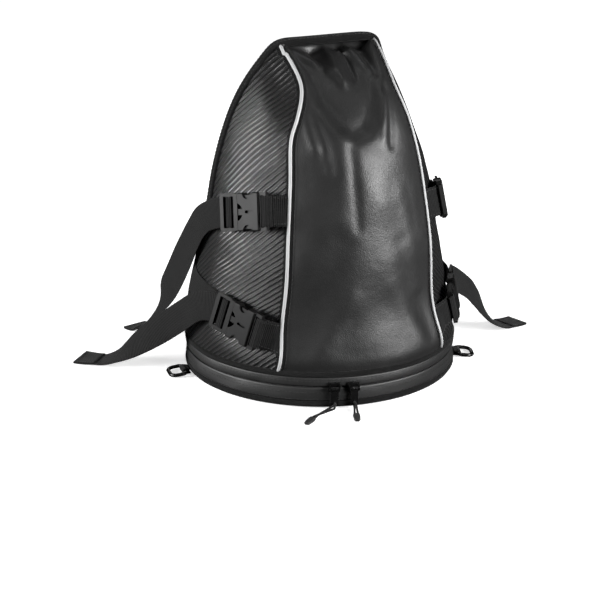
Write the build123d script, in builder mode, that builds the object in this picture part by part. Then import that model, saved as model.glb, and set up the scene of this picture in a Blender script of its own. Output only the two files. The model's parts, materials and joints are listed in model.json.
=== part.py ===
"""A motorcycle tail bag: a hump-shaped shell that zips all round onto a flat tray.

Millimetres. The origin lies on the underside, at the centre of the tray's round front.
+X is the bag's right, -Y its front and +Z is up.
"""

from build123d import *
import os
from math import atan2, cos, degrees, hypot, pi, radians, sin

os.makedirs("parts", exist_ok=True)

# ---- driving dimensions: the tray and its zip band
base_radius = 146.0  # round front, seen from above
corner_radius = 70.0  # rear corners
front_arc_end = 30.0  # degrees behind the X axis where the front arc meets a corner
pad_thickness = 2.0
panel_thickness = 2.5
board_thickness = 2.0
roll_bottom = 1.5
roll_width = 5.0
lower_band_bottom = 8.0
zip_height = 23.0
flap_gap = 1.6  # slit between the two bands, where the sliders' necks run
band_inset = 1.5
band_thickness = 1.2
upper_band_top = 32.5
shell_bottom = 38.5
tape_width = 9.0
tape_thickness = 0.9
coil_height = 2.2
coil_gap = 0.6
hinge_radius = 1.6
hinge_width = 124.0

# ---- driving dimensions: the shell
wall = 2.2
ridge_height = 345.0
lining_top = 338.0
piping_width = 4.6
piping_stand = 2.2
binding_width = 9.0
binding_stand = 2.4
widest_share = 0.55  # how far back from the piping to the rear seam the widest point lies
# height, front centre y, piping x and y, widest half width, rear seam x and y, back centre y
SECTIONS = (
    (38.5, -143.5, 87.0, -114.0, 143.0, 126.0, 71.0, 105.0),
    (75.0, -141.0, 84.0, -110.0, 139.0, 119.0, 66.0, 98.0),
    (110.0, -138.0, 80.0, -106.0, 134.0, 112.0, 60.0, 88.0),
    (165.0, -135.0, 76.0, -104.0, 124.0, 110.0, 45.0, 68.0),
    (220.0, -124.0, 70.0, -95.0, 114.0, 107.0, 30.0, 47.0),
    (265.0, -112.0, 63.0, -86.0, 104.0, 100.0, 14.0, 28.0),
    (300.0, -92.0, 54.0, -70.0, 90.0, 88.0, 4.0, 12.0),
    (330.0, -58.0, 51.0, -42.0, 70.0, 68.0, -8.0, 0.0),
    (345.0, -28.0, 49.0, -25.0, 57.0, 54.0, -10.0, -5.0),
)
# how far back the bound seam between the sides and the back lies at each section's height
SEAM_LINE = (62.0, 50.0, 34.0, 12.0, 6.0, -4.0, -9.0, -15.0, -12.0)
# how far the right side has sunk in at each section's height
RIGHT_SAG = (0.0, 1.0, 4.0, 8.0, 11.0, 19.0, 20.0, 13.0, 4.0)

# ---- driving dimensions: straps and buckles
webbing_width = 30.0
webbing_thickness = 1.5
buckle_width = 38.0
buckle_thickness = 8.6
buckle_stand = 7.0  # from the shell to the buckle's middle plane
mouth_depth = 9.0  # the notch between the female half's lobes
mouth_half_width = 9.0
window_along = 13.5  # the side windows, from the mouth
window_half_length = 6.0
window_reach = 7.0
webbing_stand = 0.4  # bare clearance under a strap that lies on the shell
strap_lands = 46.0  # where the straps meet the shell, along the strap from the buckle's mouth
# name, sign of X, bearing from the front in degrees, height, rise of the front end in degrees
BUCKLES = (
    ("upper_left", -1, 60.0, 189.0, 10.5),
    ("lower_left", -1, 60.0, 83.0, -13.5),
    ("upper_right", 1, 60.0, 184.0, 8.0),
    ("lower_right", 1, 60.0, 82.0, -13.5),
)
# free ends of the left straps: place, then the way the webbing faces
TAIL_UPPER = (
    ((-134, -12, 174), (-1.0, -0.2, 0.0)),
    ((-138, 12, 148), (-1.0, -0.3, 0.0)),
    ((-141, 38, 118), (-0.9, -0.4, 0.0)),
    ((-144, 66, 86), (-0.9, -0.4, 0.0)),
    ((-148, 95, 56), (-0.8, -0.5, 0.2)),
    ((-150, 122, 31), (-0.5, -0.5, 0.6)),
    ((-155, 138, 13), (-0.3, -0.4, 0.9)),
    ((-159, 151, 3), (-0.1, -0.2, 1.0)),
    ((-164, 165, 2.3), (0.0, 0.0, 1.0)),
)
TAIL_LOWER = (
    ((-146, -26, 86), (-0.9, -0.4, 0.1)),
    ((-156, -1, 67), (-0.8, -0.6, 0.1)),
    ((-168, 19, 50), (-0.7, -0.7, 0.2)),
    ((-183, 35, 35), (-0.5, -0.7, 0.5)),
    ((-200, 49, 19), (-0.3, -0.5, 0.8)),
    ((-216, 61, 6), (-0.1, -0.2, 1.0)),
    ((-231, 71, 2.3), (0.0, 0.0, 1.0)),
    ((-246, 85, 2.6), (0.0, -0.1, 1.0)),
)
TAIL_LOWER_RIGHT = (
    ((158, -30, 74), (0.9, -0.4, 0.1)),
    ((175, -21, 60), (0.8, -0.6, 0.2)),
    ((191, -12, 41), (0.7, -0.6, 0.4)),
    ((206, -4, 22), (0.4, -0.5, 0.8)),
    ((222, 3, 7), (0.2, -0.2, 1.0)),
    ((240, 9, 2.3), (0.0, 0.0, 1.0)),
    ((257, 14, 2.3), (0.0, 0.0, 1.0)),
)

# ---- driving dimensions: rings at the tray's sides
ring_wire = 2.0
ring_width = 24.0
ring_depth = 16.0
# name, bearing from the front in degrees
RINGS = (("left", -93.0), ("right", 71.0))

# ---- driving dimensions: back
pad_half_width = 72.0
pad_stand = 9.0
pad_bottom = 62.0
pad_top = 236.0
handle_half_width = 48.0
handle_bottom = 283.0
handle_top = 308.0
handle_stand = 20.0

# ---- driving dimensions: sliders and pulls
slider_arc = 4.6  # degrees of the front arc that a slider covers
slider_height = 10.0
slider_plate = 1.8
neck_height = 1.0
pin_radius = 1.0
pin_stand = 5.4
pin_half_length = 4.0
cheek = 1.2
tab_eye = 2.1
tab_length = 18.0
tab_width = 7.5
tab_thickness = 1.6
cord_radius = 0.7
cord_hole = 1.8
grip_length = 15.0
grip_width = 6.5
grip_thickness = 4.4
eye_inset = 2.4  # the cross hole that the grip swings on
eye_radius = 0.9
cord_gap = 0.15
# name, bearing from the front in degrees, where its grip lies: x, y and the way it points in degrees
SLIDERS = (("left", -16.5, (-77.0, -163.0), 222.0), ("right", -9.0, (-31.0, -172.0), 250.0))

corner_y = (base_radius - corner_radius) * sin(radians(front_arc_end))
corner_x = (base_radius - corner_radius) * cos(radians(front_arc_end))
back_y = corner_y + corner_radius


def write(builder, name):
    """Labels a finished piece and writes its file."""
    builder.part.label = name
    export_step(builder.part, f"parts/{name}.step")


# ======================================================================== tray and bands
def base_outline(inset, height):
    """The tray's outline, drawn in by inset, as a face at the given height."""
    with BuildSketch(Plane.XY.offset(height)) as outline:
        with BuildLine():
            CenterArc((0, 0), base_radius - inset, 180 - front_arc_end, 180 + 2 * front_arc_end)
            CenterArc((corner_x, corner_y), corner_radius - inset, front_arc_end, 90 - front_arc_end)
            Line((corner_x, back_y - inset), (-corner_x, back_y - inset))
            CenterArc((-corner_x, corner_y), corner_radius - inset, 90, 90 - front_arc_end)
        make_face()
    return outline.sketch


def plate(name, inset, bottom, top):
    """A flat piece that fills the tray's outline."""
    with BuildPart() as piece:
        add(base_outline(inset, bottom))
        extrude(amount=top - bottom)
    write(piece, name)


def ring(name, outer, inner, bottom, top, rounding=0.0, open_at_hinge=False):
    """A band that follows the tray's outline between two insets."""
    with BuildPart() as piece:
        add(base_outline(outer, bottom))
        extrude(amount=top - bottom)
        if rounding:
            ends = piece.edges().group_by(Axis.Z)
            fillet(ends[0] + ends[-1], radius=rounding)
        add(base_outline(inner, bottom))
        extrude(amount=top - bottom, mode=Mode.SUBTRACT)
        if open_at_hinge:
            with BuildSketch(Plane.XY.offset(bottom)):
                with Locations((0, back_y)):
                    Rectangle(hinge_width + 4, 40)
            extrude(amount=top - bottom, mode=Mode.SUBTRACT)
    write(piece, name)


tape_outer = band_inset + band_thickness + 2.0
plate("antislip_pad", 9.0, 0, pad_thickness)
plate("base_panel", roll_width, pad_thickness, pad_thickness + panel_thickness)
board_bottom = pad_thickness + panel_thickness
plate("base_board", roll_width + 1, board_bottom, board_bottom + board_thickness)
ring("bottom_roll", 0, roll_width, roll_bottom, lower_band_bottom, rounding=2.4)
ring(
    "lower_band", band_inset, band_inset + band_thickness, lower_band_bottom, zip_height - flap_gap / 2
)
ring(
    "lower_zip_tape",
    tape_outer,
    tape_outer + tape_thickness,
    zip_height - coil_gap / 2 - tape_width,
    zip_height - coil_gap / 2,
    open_at_hinge=True,
)
ring(
    "lower_zip_coil",
    tape_outer - 1.4,
    tape_outer,
    zip_height - coil_gap / 2 - coil_height,
    zip_height - coil_gap / 2,
    open_at_hinge=True,
)
ring(
    "upper_zip_tape",
    tape_outer,
    tape_outer + tape_thickness,
    zip_height + coil_gap / 2,
    zip_height + coil_gap / 2 + tape_width,
    open_at_hinge=True,
)
ring(
    "upper_zip_coil",
    tape_outer - 1.4,
    tape_outer,
    zip_height + coil_gap / 2,
    zip_height + coil_gap / 2 + coil_height,
    open_at_hinge=True,
)
ring(
    "upper_band", band_inset, band_inset + band_thickness, zip_height + flap_gap / 2, upper_band_top
)
ring("top_roll", 0, roll_width, upper_band_top, shell_bottom, rounding=2.4)

# the rolled tape on the back of the band that the shell folds over when it opens
hinge_y = back_y - band_inset + hinge_radius + 0.05
with BuildPart() as rear_hinge_fold:
    with BuildSketch(Plane.YZ.offset(-hinge_width / 2)):
        with Locations((hinge_y, zip_height)):
            Circle(hinge_radius)
        with Locations((hinge_y - hinge_radius + 0.6, zip_height - 8)):
            Rectangle(1.2, 13)
    extrude(amount=hinge_width)
write(rear_hinge_fold, "rear_hinge_fold")


# ======================================================================== shell
def section_points(section, outset):
    """The eight points of one outline, moved outwards by outset."""
    _, front, piping_x, piping_y, side, rear_x, rear_y, back = section
    sag = RIGHT_SAG[SECTIONS.index(section)]
    side_y = piping_y + widest_share * (rear_y - piping_y)
    points = [
        (0, front),
        (piping_x, piping_y),
        (side - sag, side_y),
        (rear_x - sag, rear_y),
        (0, back),
        (-rear_x, rear_y),
        (-side, side_y),
        (-piping_x, piping_y),
    ]
    moved = []
    for n, (x, y) in enumerate(points):
        before, after = points[n - 1], points[(n + 1) % len(points)]
        along_x, along_y = after[0] - before[0], after[1] - before[1]
        length = hypot(along_x, along_y)
        moved.append((x + outset * along_y / length, y - outset * along_x / length))
    return moved


def hump(outset, top=ridge_height):
    """The shell's whole outer shape as one solid, grown by outset."""
    with BuildPart() as body:
        for section in SECTIONS:
            height = section[0] + (top - ridge_height if section is SECTIONS[-1] else 0)
            with BuildSketch(Plane.XY.offset(height)):
                with BuildLine():
                    Spline(*section_points(section, outset), periodic=True)
                make_face()
        loft()
    return body.part


def front_zone(grow=0.0):
    """Everything between the two piping lines, grown sideways."""
    outline = [(s[2] + grow, s[0]) for s in SECTIONS]
    outline[0] = (outline[0][0], shell_bottom - 5)
    outline.append((outline[-1][0], ridge_height + 20))
    with BuildPart() as zone:
        with BuildSketch(Plane.XZ.offset(-80)):
            with BuildLine():
                Polyline(*outline, *[(-x, z) for x, z in reversed(outline)], close=True)
            make_face()
        extrude(amount=300)
    return zone.part


def back_zone(shift=0.0):
    """Everything behind the rear seam, whose line is moved back by shift."""
    line = [(y + shift, s[0]) for y, s in zip(SEAM_LINE, SECTIONS)]
    line[0] = (line[0][0], shell_bottom - 5)
    line.append((line[-1][0], ridge_height + 20))
    with BuildPart() as zone:
        with BuildSketch(Plane.YZ.offset(-200)):
            with BuildLine():
                Polyline(*line, (200, ridge_height + 20), (200, shell_bottom - 5), close=True)
            make_face()
        extrude(amount=400)
    return zone.part


outer = hump(0)
with BuildPart() as walls:
    add(outer)
    with BuildPart(mode=Mode.PRIVATE) as inside:
        add(hump(-wall))
        split(bisect_by=Plane.XY.offset(lining_top), keep=Keep.BOTTOM)
    add(inside.part, mode=Mode.SUBTRACT)

behind = back_zone()
between = front_zone()
with BuildPart() as front_panel:
    add(walls.part)
    add(between, mode=Mode.INTERSECT)
    add(behind, mode=Mode.SUBTRACT)
write(front_panel, "front_panel")

with BuildPart() as back_panel:
    add(walls.part)
    add(behind, mode=Mode.INTERSECT)
write(back_panel, "back_panel")

for side, keep in (("left", Keep.BOTTOM), ("right", Keep.TOP)):
    with BuildPart() as side_panel:
        add(walls.part)
        add(between, mode=Mode.SUBTRACT)
        add(behind, mode=Mode.SUBTRACT)
        split(bisect_by=Plane.YZ, keep=keep)
    write(side_panel, f"side_panel_{side}")


def skin(inner, outer_stand, top=ridge_height):
    """The layer that lies between two offsets of the shell."""
    with BuildPart() as layer:
        add(hump(outer_stand, top))
        add(hump(inner) if inner else outer, mode=Mode.SUBTRACT)
    return layer.part


with BuildPart() as piping_band:
    add(front_zone(piping_width / 2))
    add(front_zone(-piping_width / 2), mode=Mode.SUBTRACT)
    add(back_zone(-binding_width / 2 - 0.2), mode=Mode.SUBTRACT)
piping_skin = skin(0, piping_stand)
for side, keep in (("left", Keep.BOTTOM), ("right", Keep.TOP)):
    with BuildPart() as piping:
        add(piping_skin)
        add(piping_band.part, mode=Mode.INTERSECT)
        split(bisect_by=Plane.YZ, keep=keep)
    write(piping, f"reflective_piping_{side}")

with BuildPart() as seam_band:
    add(back_zone(-binding_width / 2))
    add(back_zone(binding_width / 2), mode=Mode.SUBTRACT)
with BuildPart() as edge_binding:
    add(skin(0, binding_stand, ridge_height + binding_stand))
    add(seam_band.part, mode=Mode.INTERSECT)
write(edge_binding, "edge_binding")


# ======================================================================== back pad and handle
with BuildPart() as back_pad:
    with BuildSketch(Plane.XZ.offset(-180)):
        with Locations((0, (pad_bottom + pad_top) / 2)):
            RectangleRounded(2 * pad_half_width, pad_top - pad_bottom, 22)
    extrude(amount=180)
    add(hump(pad_stand), mode=Mode.INTERSECT)
    add(hump(0.3), mode=Mode.SUBTRACT)
write(back_pad, "back_pad")


def shell_point(origin, direction):
    """Where a line last leaves the shell, and the shell's outward direction there."""
    crossings = outer.find_intersection_points(Axis(origin, direction))
    ahead = [(p, n) for p, n in crossings if (p - Vector(*origin)).dot(Vector(*direction)) > 0]
    return ahead[-1]


handle_feet = [
    shell_point((handle_half_width - 14, -20, height), (0, 1, 0))[0]
    for height in (handle_bottom, handle_top)
]
handle_up = (handle_feet[1] - handle_feet[0]).normalized()
handle_plane = Plane(
    origin=(0, handle_feet[0].Y, handle_bottom), x_dir=(1, 0, 0), z_dir=(0, handle_up.Y, handle_up.Z)
)
handle_foot = 1.9
handle_crown = handle_foot + handle_stand
with BuildPart() as grab_handle:
    with BuildSketch(handle_plane):
        with BuildLine():
            FilletPolyline(
                (-handle_half_width - 8, handle_foot),
                (-handle_half_width + 8, handle_foot),
                (-handle_half_width + 20, handle_crown),
                (handle_half_width - 20, handle_crown),
                (handle_half_width - 8, handle_foot),
                (handle_half_width + 8, handle_foot),
                radius=6,
            )
        trace(line_width=3)
    extrude(amount=handle_top - handle_bottom)
write(grab_handle, "grab_handle")


# ======================================================================== buckles and straps
def buckle_plane(sign, bearing, height, rise):
    """The buckle's own axes: X to its front end, Y across it and Z away from the shell."""
    way = (sign * sin(radians(bearing)), -cos(radians(bearing)), 0)
    place, outward = shell_point((0, 0, height), way)
    level = Vector(0, 0, 1).cross(outward).normalized()
    if level.Y > 0:
        level = level * -1
    upward = level.cross(outward) * (1 if outward.cross(level).Z < 0 else -1)
    forward = level * cos(radians(rise)) + upward.normalized() * sin(radians(rise))
    return Plane(origin=place + outward * buckle_stand, x_dir=forward, z_dir=outward)


def shell_depth(plane, along):
    """How far below the buckle's middle plane the shell lies, at a distance along the strap."""
    start = plane.from_local_coords(Vector(along, 0, 20))
    crossings = outer.find_intersection_points(Axis(start, plane.z_dir * -1))
    depths = [plane.to_local_coords(p).Z for p, _ in crossings]
    return max(depths)


def across(plane):
    """The plane that a strap's path is drawn in: X along the strap and Y away from the shell."""
    return Plane(origin=plane.origin, x_dir=plane.x_dir, z_dir=plane.y_dir * -1)


bar = 1.2
slot = 15.6
strap_outside = hump(webbing_stand + webbing_thickness)
strap_inside = hump(webbing_stand)
inner_guard = hump(0.2)
strap_front_limit = front_zone(piping_width / 2 + 0.3)
strap_back_limit = back_zone(-binding_width / 2 - 0.3)


def strap(name, plane, path, near, far):
    """A strap: its looped part, drawn in the strap's own plane, and the part on the shell."""
    with BuildPart() as lane:
        with BuildSketch(plane.offset(-90)):
            with Locations(((near + far) / 2, 0)):
                Rectangle(abs(far - near), webbing_width)
        extrude(amount=120)
        add(strap_front_limit, mode=Mode.SUBTRACT)
        add(strap_back_limit, mode=Mode.SUBTRACT)
        add(strap_outside, mode=Mode.INTERSECT)
        add(strap_inside, mode=Mode.SUBTRACT)
    with BuildPart() as webbing:
        add(lane.part)
        with BuildSketch(across(plane).offset(-webbing_width / 2)):
            with BuildLine():
                Polyline(*path)
            trace(line_width=webbing_thickness)
        extrude(amount=webbing_width)
        add(inner_guard, mode=Mode.SUBTRACT)
    write(webbing, name)
    print(name, "solids", len(webbing.part.solids()))


def female_buckle(name, plane):
    """The socket half: two lobes round a notched mouth, side windows and a slot for the sewn webbing."""
    with BuildPart(plane) as half:
        with Locations((14.1, 0, 0)):
            Box(27.8, buckle_width, buckle_thickness)
        fillet(half.edges(), radius=1.6)
        with Locations((31, 0, 0)):
            Box(10, buckle_width, 4.4)
        with Locations((12, 0, 0)):
            Box(26, 33.6, 5.2, mode=Mode.SUBTRACT)
        with BuildSketch(plane.offset(-buckle_thickness)):
            with Locations((-1.0, 0)):
                Ellipse(mouth_depth, mouth_half_width)
            with Locations((window_along, buckle_width / 2 + 0.6), (window_along, -buckle_width / 2 - 0.6)):
                Ellipse(window_half_length, window_reach)
            with Locations((16.2, 0)):
                SlotOverall(10.5, 2.8)
            with Locations((31.2, 0)):
                Rectangle(3.8, 2 * slot)
        extrude(amount=2 * buckle_thickness, mode=Mode.SUBTRACT)
    write(half, name)


def male_buckle(name, plane):
    """The plug half: two side prongs, a guide between them and a strap adjuster's bars."""
    with BuildPart(plane) as half:
        with BuildSketch(plane.offset(-bar)):
            with Locations((-14, 0)):
                RectangleRounded(20, buckle_width, 3.0)
        extrude(amount=2 * bar)
        with Locations((-2.6, 0, 0)):
            Box(4.8, 36, 5.0)
        with Locations((9, 0, 0)):
            Box(22, 6, 3.4)
        with Locations((7, 12.4, 0), (7, -12.4, 0)):
            Box(18, 5.0, 4.2)
        with Locations((13.5, 14.2, 0), (13.5, -14.2, 0)):
            Box(10, 4.4, 4.2)
        with Locations((-8.2, 0, 0)):
            Box(3.6, 2 * slot, 10, mode=Mode.SUBTRACT)
        with Locations((-16.3, 0, 0)):
            Box(6.6, 2 * slot, 10, mode=Mode.SUBTRACT)
    write(half, name)


def tail(name, stations, first_way):
    """A flat free strap end, lofted straight from station to station, that sets out along first_way."""
    places = [Vector(*place) for place, _ in stations]
    length = sum((b - a).length for a, b in zip(places, places[1:]))
    with BuildPart() as ribbon:
        for n, (place, face) in enumerate(stations):
            before = places[max(n - 1, 0)]
            after = places[min(n + 1, len(places) - 1)]
            along = (after - before).normalized()
            if n < 2:
                along = first_way
            sideways = along.cross(Vector(*face)).normalized()
            with BuildSketch(Plane(origin=places[n], x_dir=sideways, z_dir=along)):
                Rectangle(webbing_width, webbing_thickness)
        loft(ruled=True)
    write(ribbon, name)
    section_area = webbing_width * webbing_thickness
    print(name, "length", round(length, 1), "volume / area", round(ribbon.part.volume / section_area, 1))


routes = {
    "upper_left": TAIL_UPPER,
    "lower_left": TAIL_LOWER,
    "upper_right": [((-p[0], p[1], p[2]), (-f[0], f[1], f[2])) for p, f in TAIL_UPPER],
    "lower_right": TAIL_LOWER_RIGHT,
}
layer_low = -4.4
layer_mid = -2.4
layer_top = 2.4
tail_starts = -17.7
tail_leaves = -27.0
for name, sign, bearing, height, rise in BUCKLES:
    plane = buckle_plane(sign, bearing, height, rise)
    print(name, "origin", [round(v, 3) for v in plane.origin], "x", [round(v, 5) for v in plane.x_dir])
    print(name, "y", [round(v, 5) for v in plane.y_dir], "z", [round(v, 5) for v in plane.z_dir])
    female_buckle(f"buckle_female_{name}", plane)
    male_buckle(f"buckle_male_{name}", plane)
    shell_front = shell_depth(plane, strap_lands) + webbing_stand + webbing_thickness / 2
    shell_rear = shell_depth(plane, -strap_lands) + webbing_stand + webbing_thickness / 2
    strap(
        f"short_webbing_{name}",
        plane,
        [
            (strap_lands + 1.5, shell_front),
            (38.4, -3.4),
            (31.2, -3.4),
            (31.2, 3.4),
            (37.2, 3.4),
            (40.6, -1.0),
        ],
        strap_lands,
        120.0,
    )
    strap(
        f"rear_strap_{name}",
        plane,
        [
            (-strap_lands - 1.5, shell_rear),
            (-27, layer_low),
            (-8.2, layer_low),
            (-8.2, layer_top),
            (-14.6, layer_top),
            (-16.4, layer_mid),
            (tail_starts, layer_mid),
        ],
        -160.0,
        -strap_lands,
    )
    in_the_buckle = [
        (tuple(plane.from_local_coords(Vector(along, 0, layer_mid))), tuple(plane.z_dir))
        for along in (tail_starts, tail_leaves)
    ]
    stations = [*in_the_buckle, *routes[name]]
    print(name, "tail starts", [[round(v, 2) for v in place] for place, _ in in_the_buckle])
    tail(f"strap_tail_{name}", stations, plane.x_dir * -1)


# ======================================================================== sliders and pulls
face_radius = base_radius - band_inset
plate_radius = face_radius + 0.4
pin_reach = plate_radius + pin_stand


def tangent_plane(bearing, reach, height):
    """Axes on the round front: X along the band, Y up and Z away from the bag."""
    outward = Vector(sin(radians(bearing)), -cos(radians(bearing)), 0)
    return Plane(
        origin=outward * reach + Vector(0, 0, height),
        x_dir=Vector(0, 0, 1).cross(outward),
        z_dir=outward,
    )


def slider(name, bearing):
    """A slider that follows the front arc, with a bridge that carries the tab's pin."""
    first = bearing - 90 - slider_arc / 2
    with BuildPart() as body:
        with BuildSketch(Plane.XZ.rotated((0, 0, first))):
            with Locations((plate_radius + slider_plate / 2, zip_height)):
                RectangleRounded(slider_plate, slider_height, 0.6)
            with Locations((plate_radius - 0.4, zip_height)):
                Rectangle(1.6, neck_height)
        revolve(axis=Axis.Z, revolution_arc=slider_arc)
        with BuildSketch(tangent_plane(bearing, plate_radius + slider_plate / 2, zip_height)):
            with Locations((pin_half_length + cheek / 2, 0), (-pin_half_length - cheek / 2, 0)):
                RectangleRounded(cheek, 5.0, 0.4)
        extrude(amount=pin_stand + pin_radius)
        across_pin = tangent_plane(bearing, pin_reach, zip_height)
        with BuildSketch(Plane(across_pin.origin, x_dir=across_pin.y_dir, z_dir=across_pin.x_dir)):
            Circle(pin_radius)
        extrude(amount=pin_half_length + cheek / 2, both=True)
    write(body, name)


def pull_tab(name, bearing):
    """The tab: an eye round the slider's pin and a blade with a hole for the cord."""
    hang = tangent_plane(bearing, pin_reach, zip_height)
    side_on = Plane(hang.origin, x_dir=hang.y_dir, z_dir=hang.x_dir)
    with BuildPart() as tab:
        with BuildSketch(side_on):
            Circle(tab_eye)
        extrude(amount=pin_half_length - 0.5, both=True)
        with BuildSketch(hang.offset(-tab_thickness / 2)):
            with Locations((0, -tab_length / 2)):
                RectangleRounded(tab_width, tab_length, 2.4)
        extrude(amount=tab_thickness)
        with BuildSketch(side_on):
            Circle(pin_radius + 0.05)
        extrude(amount=pin_half_length, both=True, mode=Mode.SUBTRACT)
        with BuildSketch(hang.offset(-tab_thickness)):
            with Locations((0, -tab_length + 3.2)):
                Circle(cord_hole)
        extrude(amount=2 * tab_thickness, mode=Mode.SUBTRACT)
    write(tab, name)


def grip_and_cord(side, bearing, place, way):
    """A moulded grip that lies in front of the bag and the cord that ties it to the tab."""
    hang = tangent_plane(bearing, pin_reach, zip_height)
    pointing = Vector(cos(radians(way)), sin(radians(way)), 0)
    middle = Vector(place[0], place[1], grip_thickness / 2)
    near_end = middle - pointing * (grip_length / 2)
    with BuildPart() as grip:
        with BuildSketch(Plane(near_end, x_dir=Vector(0, 0, 1), z_dir=pointing)):
            RectangleRounded(grip_thickness, grip_width, 1.6)
        with BuildSketch(Plane(middle + pointing * (grip_length / 2), x_dir=Vector(0, 0, 1), z_dir=pointing)):
            RectangleRounded(grip_thickness * 0.8, grip_width * 0.8, 1.2)
        loft()
        with BuildSketch(Plane(near_end + pointing * eye_inset, z_dir=Vector(0, 0, 1).cross(pointing))):
            Circle(eye_radius)
        extrude(amount=grip_width, both=True, mode=Mode.SUBTRACT)
    write(grip, f"grip_{side}")
    print("grip", side, "eye", [round(v, 3) for v in near_end + pointing * eye_inset])
    hole = hang.from_local_coords(Vector(0, -tab_length + 3.2, 0))
    outward = hang.z_dir
    sideways = hang.x_dir
    reach = (near_end - hole).length
    apart = Vector(0, 0, 1).cross(pointing) * 1.5
    near_end = near_end - pointing * cord_gap
    route = [
        near_end + apart,
        near_end + apart - pointing * 0.22 * reach + Vector(0, 0, 0.6),
        hole + outward * 4.6 + sideways * 0.4 + Vector(0, 0, 0.3),
        hole + Vector(0, 0, -0.2),
        hole - outward * 2.3 + Vector(0, 0, -2.6),
        hole + outward * 1.2 + Vector(0, 0, -5.6),
        near_end - apart - pointing * 0.22 * reach + Vector(0, 0, -0.9),
        near_end - apart,
    ]
    with BuildPart() as cord:
        with BuildLine() as path:
            Polyline(*route)
        with BuildSketch(Plane(route[0], z_dir=route[1] - route[0])):
            Circle(cord_radius)
        sweep(path=path.wires()[0], transition=Transition.ROUND)
    write(cord, f"grip_cord_{side}")
    print("grip cord", side, "length", round(path.wires()[0].length, 1), "hole", [round(v, 2) for v in hole])


for side, bearing, grip_place, grip_way in SLIDERS:
    slider(f"zip_slider_{side}", bearing)
    pull_tab(f"pull_tab_{side}", bearing)
    grip_and_cord(side, bearing, grip_place, grip_way)
    pin = tangent_plane(bearing, pin_reach, zip_height)
    print("slider", side, "pin", [round(v, 3) for v in pin.origin], "axis", [round(v, 5) for v in pin.x_dir])

# ======================================================================== side rings
with BuildPart() as tray_space:
    add(base_outline(-0.05, 0))
    extrude(amount=shell_bottom)
inner_tray = tray_space.part
for side, bearing in RINGS:
    pivot_reach = base_radius + 6.0
    pivot_height = 3.7
    droop = (pivot_height - ring_wire - 0.05) / ring_depth
    hang = tangent_plane(bearing, pivot_reach, pivot_height)
    flat = Plane(hang.origin, x_dir=hang.x_dir, z_dir=Vector(0, 0, 1) + hang.z_dir * droop)
    side_on = Plane(hang.origin, x_dir=hang.z_dir, z_dir=hang.x_dir)
    with BuildPart() as ring_tab:
        with BuildSketch(side_on.offset(-ring_width / 2 + 4.5)):
            Circle(ring_wire + 1.5)
            with Locations((-5.0, -1.4 if side_on.y_dir.Z > 0 else 1.4)):
                Rectangle(6.0, 2.4)
            Circle(ring_wire + 0.08, mode=Mode.SUBTRACT)
        extrude(amount=ring_width - 9)
        add(inner_tray, mode=Mode.SUBTRACT)
    write(ring_tab, f"ring_tab_{side}")
    with BuildPart() as d_ring:
        with BuildLine() as wire:
            FilletPolyline(
                flat.from_local_coords(Vector(0, 0, 0)),
                flat.from_local_coords(Vector(ring_width / 2, 0, 0)),
                flat.from_local_coords(Vector(ring_width / 2, -ring_depth, 0)),
                flat.from_local_coords(Vector(-ring_width / 2, -ring_depth, 0)),
                flat.from_local_coords(Vector(-ring_width / 2, 0, 0)),
                flat.from_local_coords(Vector(-0.01, 0, 0)),
                radius=[4.0, 7.0, 7.0, 4.0],
            )
        with BuildSketch(Plane(flat.origin, z_dir=flat.x_dir)):
            Circle(ring_wire)
        sweep(path=wire.wires()[0])
    write(d_ring, f"d_ring_{side}")
    print("ring", side, "pivot", [round(v, 3) for v in flat.origin], "axis", [round(v, 5) for v in flat.x_dir])
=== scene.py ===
"""A motorcycle tail bag: looks for the CAD frame, in metres.

The panels, bands, straps and trim are rebuilt as cloth on the CAD's own surfaces. Buckles, rings,
sliders and boards stay the CAD's and get their finish here.
"""

import json
import random
from collections import Counter
from math import cos, exp, floor, hypot, pi, radians, sin, tan

import bpy
from mathutils import Matrix, Vector, noise
from mathutils.bvhtree import BVHTree


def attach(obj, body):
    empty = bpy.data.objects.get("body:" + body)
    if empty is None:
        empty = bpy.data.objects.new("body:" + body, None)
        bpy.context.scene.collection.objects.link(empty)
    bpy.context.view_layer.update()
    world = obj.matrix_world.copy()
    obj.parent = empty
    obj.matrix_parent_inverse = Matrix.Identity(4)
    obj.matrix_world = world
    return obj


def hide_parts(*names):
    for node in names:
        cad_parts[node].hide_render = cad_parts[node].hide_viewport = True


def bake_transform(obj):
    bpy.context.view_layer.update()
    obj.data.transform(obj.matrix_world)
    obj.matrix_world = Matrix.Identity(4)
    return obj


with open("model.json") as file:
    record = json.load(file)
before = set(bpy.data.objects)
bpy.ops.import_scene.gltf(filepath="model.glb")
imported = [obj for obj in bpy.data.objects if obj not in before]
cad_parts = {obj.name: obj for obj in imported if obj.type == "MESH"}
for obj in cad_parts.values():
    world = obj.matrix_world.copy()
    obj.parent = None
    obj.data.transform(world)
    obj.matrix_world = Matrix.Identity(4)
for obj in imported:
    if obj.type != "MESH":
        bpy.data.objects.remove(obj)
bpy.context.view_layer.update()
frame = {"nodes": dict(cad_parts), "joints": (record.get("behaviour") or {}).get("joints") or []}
nodes = frame["nodes"]
scene = bpy.context.scene
MM = 0.001
random.seed(7)

# ======================================================================== camera
AIM = Vector((-0.036, -0.034, 0.080))
AZIMUTH, ELEVATION, DISTANCE = radians(-21.63), radians(18.83), 1.40
backward = Vector(
    (sin(AZIMUTH) * cos(ELEVATION), -cos(AZIMUTH) * cos(ELEVATION), sin(ELEVATION))
)
camera_data = bpy.data.cameras.new("camera")
camera_data.lens = 80.34
camera_data.sensor_width = 36.0
camera_data.clip_start = 0.05
camera = bpy.data.objects.new("camera", camera_data)
camera.location = AIM + backward * DISTANCE
camera.rotation_euler = backward.to_track_quat("Z", "Y").to_euler()
scene.collection.objects.link(camera)
scene.camera = camera

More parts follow.
